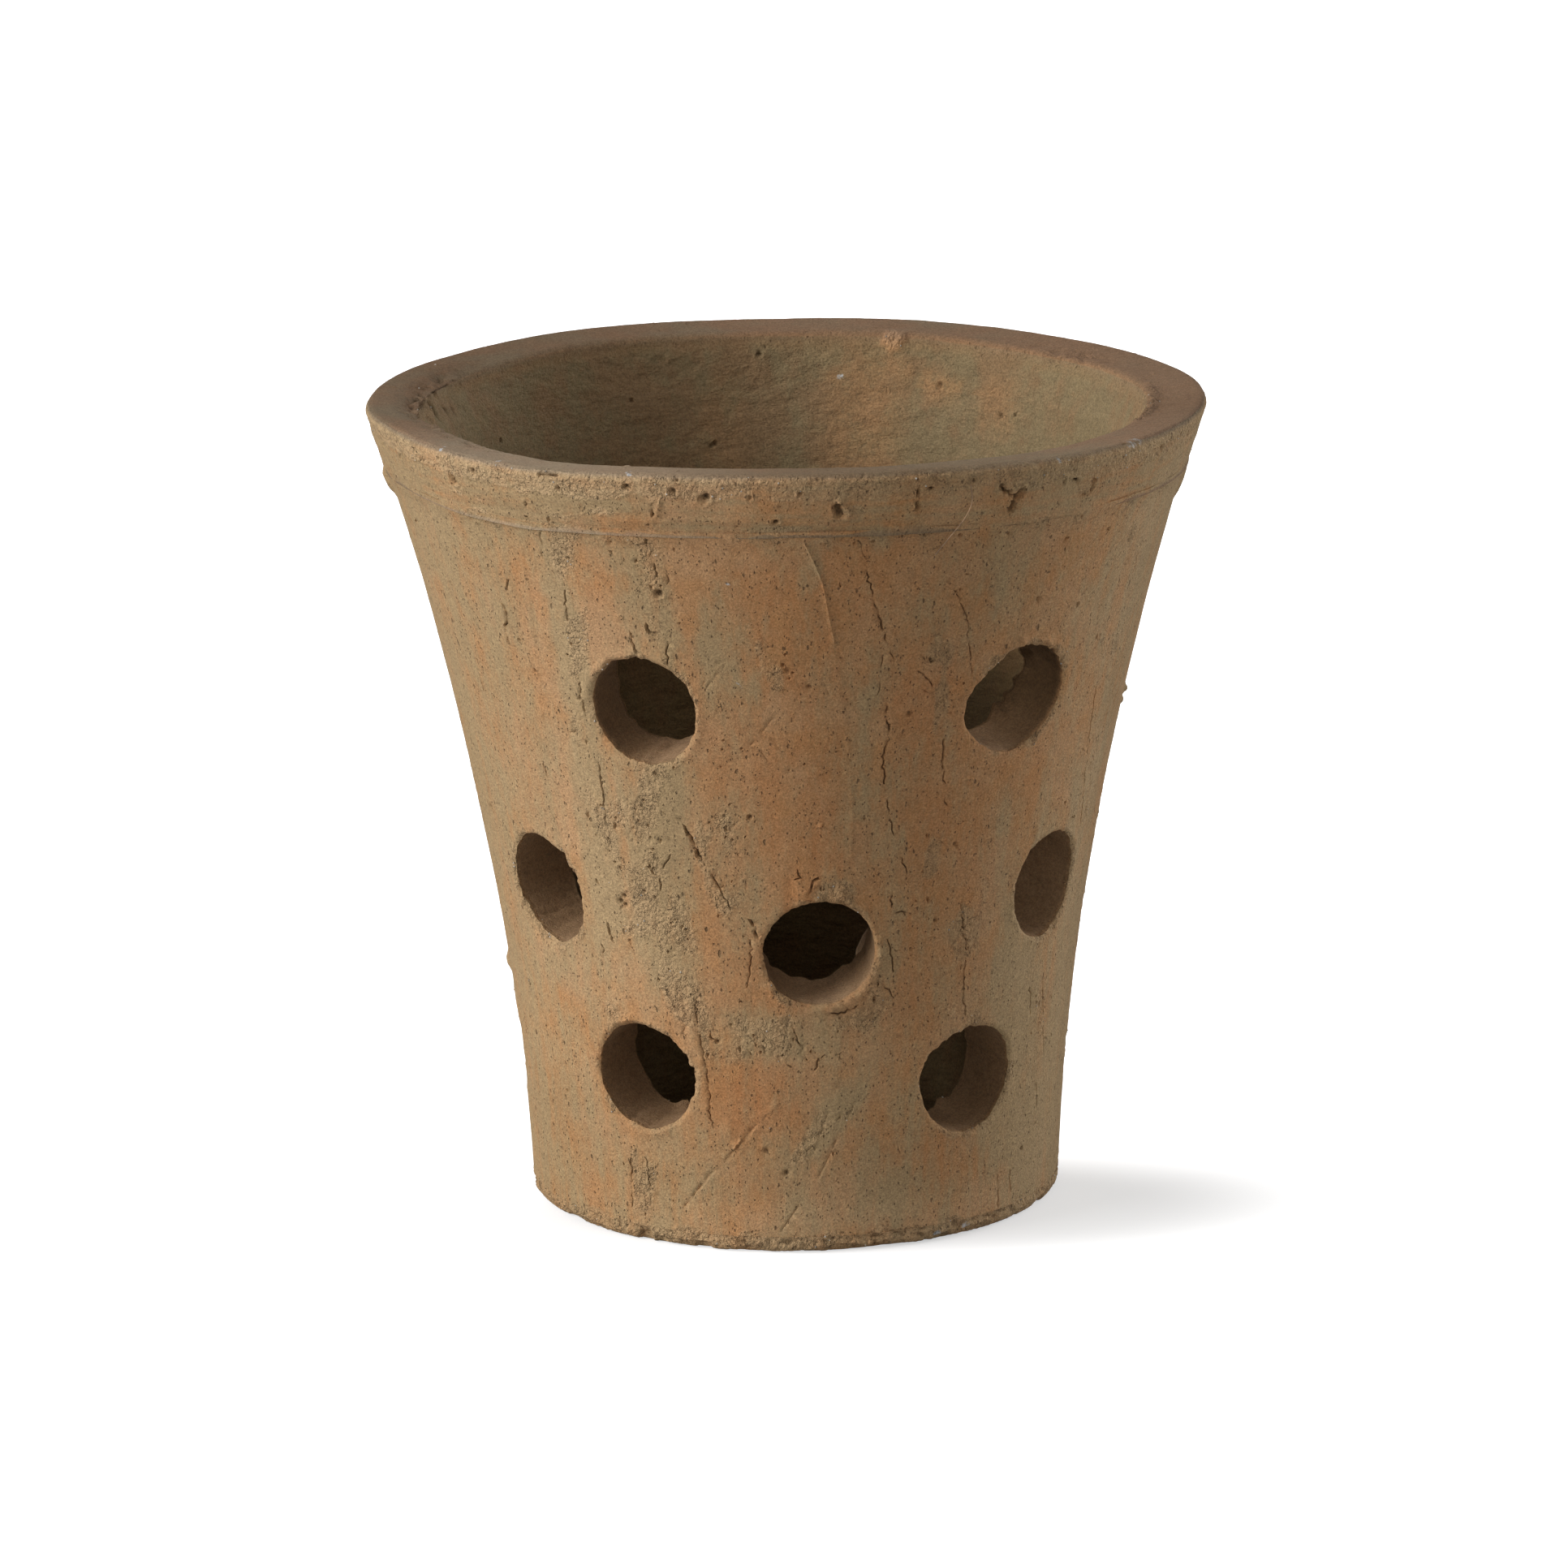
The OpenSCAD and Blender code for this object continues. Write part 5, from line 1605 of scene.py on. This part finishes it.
def plain_material(name, base, rough):
    """Small dull grains or fibres, each a little lighter or darker than the next."""
    material = bpy.data.materials.new(name)
    nodes = blank_nodes(material)
    where = nodes.add("ShaderNodeTexCoord").outputs["Object"]
    patch = nodes.add("ShaderNodeTexNoise", {"Vector": where, "Scale": 260.0, "Detail": 3.0}).outputs[0]
    dark = tuple(c * 0.45 for c in base)
    tint = nodes.mix(nodes.ease(patch, 0.38, 0.6), rgba(dark), rgba(base))
    bump = nodes.add("ShaderNodeBump", {"Strength": 0.4, "Distance": 0.0002, "Height": patch}).outputs[0]
    shader = nodes.add("ShaderNodeBsdfPrincipled", {"Base Color": tint, "Roughness": rough, "Normal": bump})
    nodes.add("ShaderNodeOutputMaterial", {"Surface": shader.outputs[0]})
    return material


# Grit and fibre


def grit_tree():
    """Strews grains over the torn parts of up to three pieces."""
    tree, nodes, given = geometry_tree("Strewn grit", [
        ("Wall", "NodeSocketObject", None),
        ("Rim", "NodeSocketObject", None),
        ("Foot", "NodeSocketObject", None),
        ("Grains Per Area", "NodeSocketFloat", 30000.0),
        ("Least Size", "NodeSocketFloat", 0.0002),
        ("Greatest Size", "NodeSocketFloat", 0.0006),
        ("Seed", "NodeSocketInt", 5),
        ("Material", "NodeSocketMaterial", None),
    ])
    joined = nodes.add("GeometryNodeJoinGeometry")
    for key in ("Wall", "Rim", "Foot"):
        piece = nodes.add("GeometryNodeObjectInfo", {"Object": given[key]}).outputs["Geometry"]
        tree.links.new(piece, joined.inputs[0])
    torn = nodes.add("GeometryNodeInputNamedAttribute", {"Name": "torn"}, data_type="FLOAT").outputs[0]
    dirt = nodes.add("GeometryNodeInputNamedAttribute", {"Name": "dirt"}, data_type="FLOAT").outputs[0]
    open_clay = nodes.sum("SUBTRACT", torn, dirt, clamp=True)
    density = nodes.sum("MULTIPLY", nodes.sum("POWER", open_clay, 2.0), given["Grains Per Area"])
    spots = nodes.add("GeometryNodeDistributePointsOnFaces", {
        "Mesh": joined.outputs[0], "Density": density, "Seed": given["Seed"]}, distribute_method="RANDOM")
    grain = nodes.add("GeometryNodeMeshIcoSphere", {"Radius": 0.5, "Subdivisions": 1})
    size = nodes.add("FunctionNodeRandomValue", {
        "Min": given["Least Size"], "Max": given["Greatest Size"], "Seed": given["Seed"]}, data_type="FLOAT")
    # the plain number sockets of a random value come after its vector ones
    sockets = [s for s in size.inputs if s.enabled and s.name in ("Min", "Max")]
    for socket, key in zip(sockets, ("Least Size", "Greatest Size")):
        tree.links.new(given[key], socket)
    value = next(s for s in size.outputs if s.enabled)
    strewn = nodes.add("GeometryNodeInstanceOnPoints", {
        "Points": spots.outputs["Points"], "Instance": grain.outputs["Mesh"],
        "Rotation": spots.outputs["Rotation"], "Scale": value})
    finish_tree(nodes, strewn.outputs[0], given["Material"])
    return tree


# Operators


class ORCHIDPOT_OT_wall(bpy.types.Operator):
    """Make the flared wall with its vent holes"""

    bl_idname = "orchidpot.wall"
    bl_label = "Wall"

    def execute(self, context):
        place_piece(build_wall("pot_wall"), "wall", "wall_clay")
        return {"FINISHED"}


class ORCHIDPOT_OT_rim_band(bpy.types.Operator):
    """Make the band of clay round the top"""

    bl_idname = "orchidpot.rim_band"
    bl_label = "Rim band"

    def execute(self, context):
        place_piece(build_rim_band("pot_rim_band"), "rim_band", "rim_clay")
        return {"FINISHED"}


class ORCHIDPOT_OT_floor_slab(bpy.types.Operator):
    """Make the floor slab with its torn edge and drain hole"""

    bl_idname = "orchidpot.floor_slab"
    bl_label = "Floor slab"

    def execute(self, context):
        place_piece(build_floor_slab("pot_floor_slab"), "floor_slab", "floor_clay")
        return {"FINISHED"}


class ORCHIDPOT_OT_grit(bpy.types.Operator):
    """Strew pale grit over the torn clay"""

    bl_idname = "orchidpot.grit"
    bl_label = "Grit"

    def execute(self, context):
        colours = context.scene.pot_colours
        material = plain_material("grit_grains", tuple(colours.grit), 0.7)
        mesh = grow("pot_grit", grit_tree(), {
            "Wall": bpy.data.objects["pot_wall"], "Rim": bpy.data.objects["pot_rim_band"],
            "Foot": bpy.data.objects["pot_floor_slab"], "Seed": context.scene.pot_mesh.seed,
            "Material": material})
        for key in [a.name for a in mesh.attributes if a.name in ("torn", "dirt", "film", "warm")]:
            mesh.attributes.remove(mesh.attributes[key])
        piece = new_piece("pot_grit", mesh)
        print("pot_grit has", len(mesh.polygons), "triangles")
        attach(piece, "root")
        return {"FINISHED"}


class ORCHIDPOT_OT_fibre(bpy.types.Operator):
    """Lay a dry plant fibre across the rim band"""

    bl_idname = "orchidpot.fibre"
    bl_label = "Plant fibre"

    thick: bpy.props.FloatProperty(name="Thickness", description="Across the fibre", default=0.0003, unit="LENGTH")

    def execute(self, context):
        form = context.scene.pot_form
        outer, _ = faces_of_wall(form)
        curve = bpy.data.curves.new("pot_fibre", "CURVE")
        curve.dimensions = "3D"
        curve.bevel_depth = self.thick / 2
        curve.bevel_resolution = 2
        curve.use_fill_caps = True
        spline = curve.splines.new("BEZIER")
        spline.bezier_points.add(len(FIBRE) - 1)
        az, z, off = np.array(FIBRE, float).T
        proud = np.where(z > BAND_Z, form.band_proud / MM, 0) + off
        for point, place in zip(spline.bezier_points, warp(outer.place(az, z, proud), form) * MM):
            point.co = place
            point.handle_left_type = point.handle_right_type = "AUTO"
        mesh = frozen(new_piece("pot_fibre_line", curve), "pot_fibre")
        piece = new_piece("pot_fibre", mesh)
        mesh.materials.clear()
        mesh.materials.append(plain_material("dry_fibre", tuple(context.scene.pot_colours.fibre), 0.6))
        mesh.shade_smooth()
        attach(piece, "root")
        return {"FINISHED"}


class ORCHIDPOT_OT_stage(bpy.types.Operator):
    """Set the floor, the light and the camera"""

    bl_idname = "orchidpot.stage"
    bl_label = "Stage"

    def execute(self, context):
        scene = context.scene
        stage = scene.pot_stage
        scene.view_settings.view_transform = "Standard"

        size = FLOOR_HALF
        mesh = bpy.data.meshes.new("studio_floor")
        mesh.from_pydata([(-size, -size, 0), (size, -size, 0), (size, size, 0), (-size, size, 0)], [], [(0, 1, 2, 3)])
        floor = new_piece("studio_floor", mesh)
        material = bpy.data.materials.new("studio_floor")
        nodes = blank_nodes(material)
        seen = nodes.add("ShaderNodeLightPath").outputs["Is Camera Ray"]
        spot = nodes.add("ShaderNodeTexCoord").outputs["Object"]
        away = nodes.add("ShaderNodeMapping", {
            "Vector": spot, "Location": (-0.2, 0.495, 0.0), "Scale": (7.3, 17.0, 0.0)}).outputs[0]
        away = nodes.add("ShaderNodeVectorMath", {0: away}, operation="LENGTH").outputs["Value"]
        diffuse = nodes.add("ShaderNodeBsdfDiffuse", {"Color": rgba(scene.pot_colours.floor)})
        # the floor glows white to the camera away from the pot and less near it, so a flat painted pool of shade shows
        # round the foot over the floor's real shadow
        strength = nodes.sum("MULTIPLY", seen, nodes.ease(away, 0.45, 1.14, 0.52, 1.1))
        glow = nodes.add("ShaderNodeEmission", {"Color": WHITE, "Strength": strength})
        both = nodes.add("ShaderNodeAddShader", {0: diffuse.outputs[0], 1: glow.outputs[0]})
        nodes.add("ShaderNodeOutputMaterial", {"Surface": both.outputs[0]})
        mesh.materials.append(material)

        world = bpy.data.worlds.new("studio_sky")
        scene.world = world
        nodes = blank_nodes(world)
        seen = nodes.add("ShaderNodeLightPath").outputs["Is Camera Ray"]
        strength = nodes.ease(seen, 0.0, 1.0, stage.sky, 1.0)
        sky = nodes.add("ShaderNodeBackground", {"Color": WHITE, "Strength": strength})
        nodes.add("ShaderNodeOutputWorld", {"Surface": sky.outputs[0]})

        for name, power, spread, towards in (
                ("key_light", stage.key, stage.key_spread, KEY_FROM),
                ("fill_light", stage.fill, math.radians(50), FILL_FROM),
                ("over_light", stage.over, math.radians(100), OVER_FROM)):
            lamp = bpy.data.lights.new(name, "SUN")
            lamp.energy, lamp.angle = power, spread
            light = new_piece(name, lamp)
            light.rotation_euler = Vector(towards).to_track_quat("Z", "Y").to_euler()

        camera = bpy.data.cameras.new("camera")
        camera.lens = stage.lens
        camera.sensor_width = 36
        camera.clip_end = 50
        eye = new_piece("camera", camera)
        pitch, roll = math.radians(90 - CAMERA_DOWN), math.radians(CAMERA_ROLL)
        eye.matrix_world = (Matrix.Translation(CAMERA_AT)
                            @ Matrix.Rotation(pitch, 4, "X") @ Matrix.Rotation(roll, 4, "Z"))
        scene.camera = eye
        return {"FINISHED"}


GROUPS = {"pot_form": PotForm, "pot_mesh": PotMesh, "pot_colours": PotColours, "pot_stage": PotStage}
STEPS = (ORCHIDPOT_OT_stage, ORCHIDPOT_OT_wall, ORCHIDPOT_OT_rim_band, ORCHIDPOT_OT_floor_slab,
         ORCHIDPOT_OT_grit, ORCHIDPOT_OT_fibre)


class ORCHIDPOT_PT_panel(bpy.types.Panel):
    """Lists the steps that make the pot"""

    bl_label = "Orchid pot"
    bl_idname = "ORCHIDPOT_PT_panel"
    bl_space_type = "VIEW_3D"
    bl_region_type = "UI"
    bl_category = "Orchid pot"

    def draw(self, context):
        for step in STEPS:
            self.layout.operator(step.bl_idname)
        for key in GROUPS:
            box = self.layout.box()
            owner = getattr(context.scene, key)
            for setting in owner.__annotations__:
                box.prop(owner, setting)


def register():
    for kind in (*GROUPS.values(), *STEPS, ORCHIDPOT_PT_panel):
        bpy.utils.register_class(kind)
    for key, kind in GROUPS.items():
        setattr(bpy.types.Scene, key, bpy.props.PointerProperty(type=kind))


def unregister():
    for key in GROUPS:
        delattr(bpy.types.Scene, key)
    for kind in reversed((*GROUPS.values(), *STEPS, ORCHIDPOT_PT_panel)):
        bpy.utils.unregister_class(kind)


def main():
    register()
    for step in STEPS:
        family, name = step.bl_idname.split(".")
        getattr(getattr(bpy.ops, family), name)()


if __name__ == "__main__":
    main()
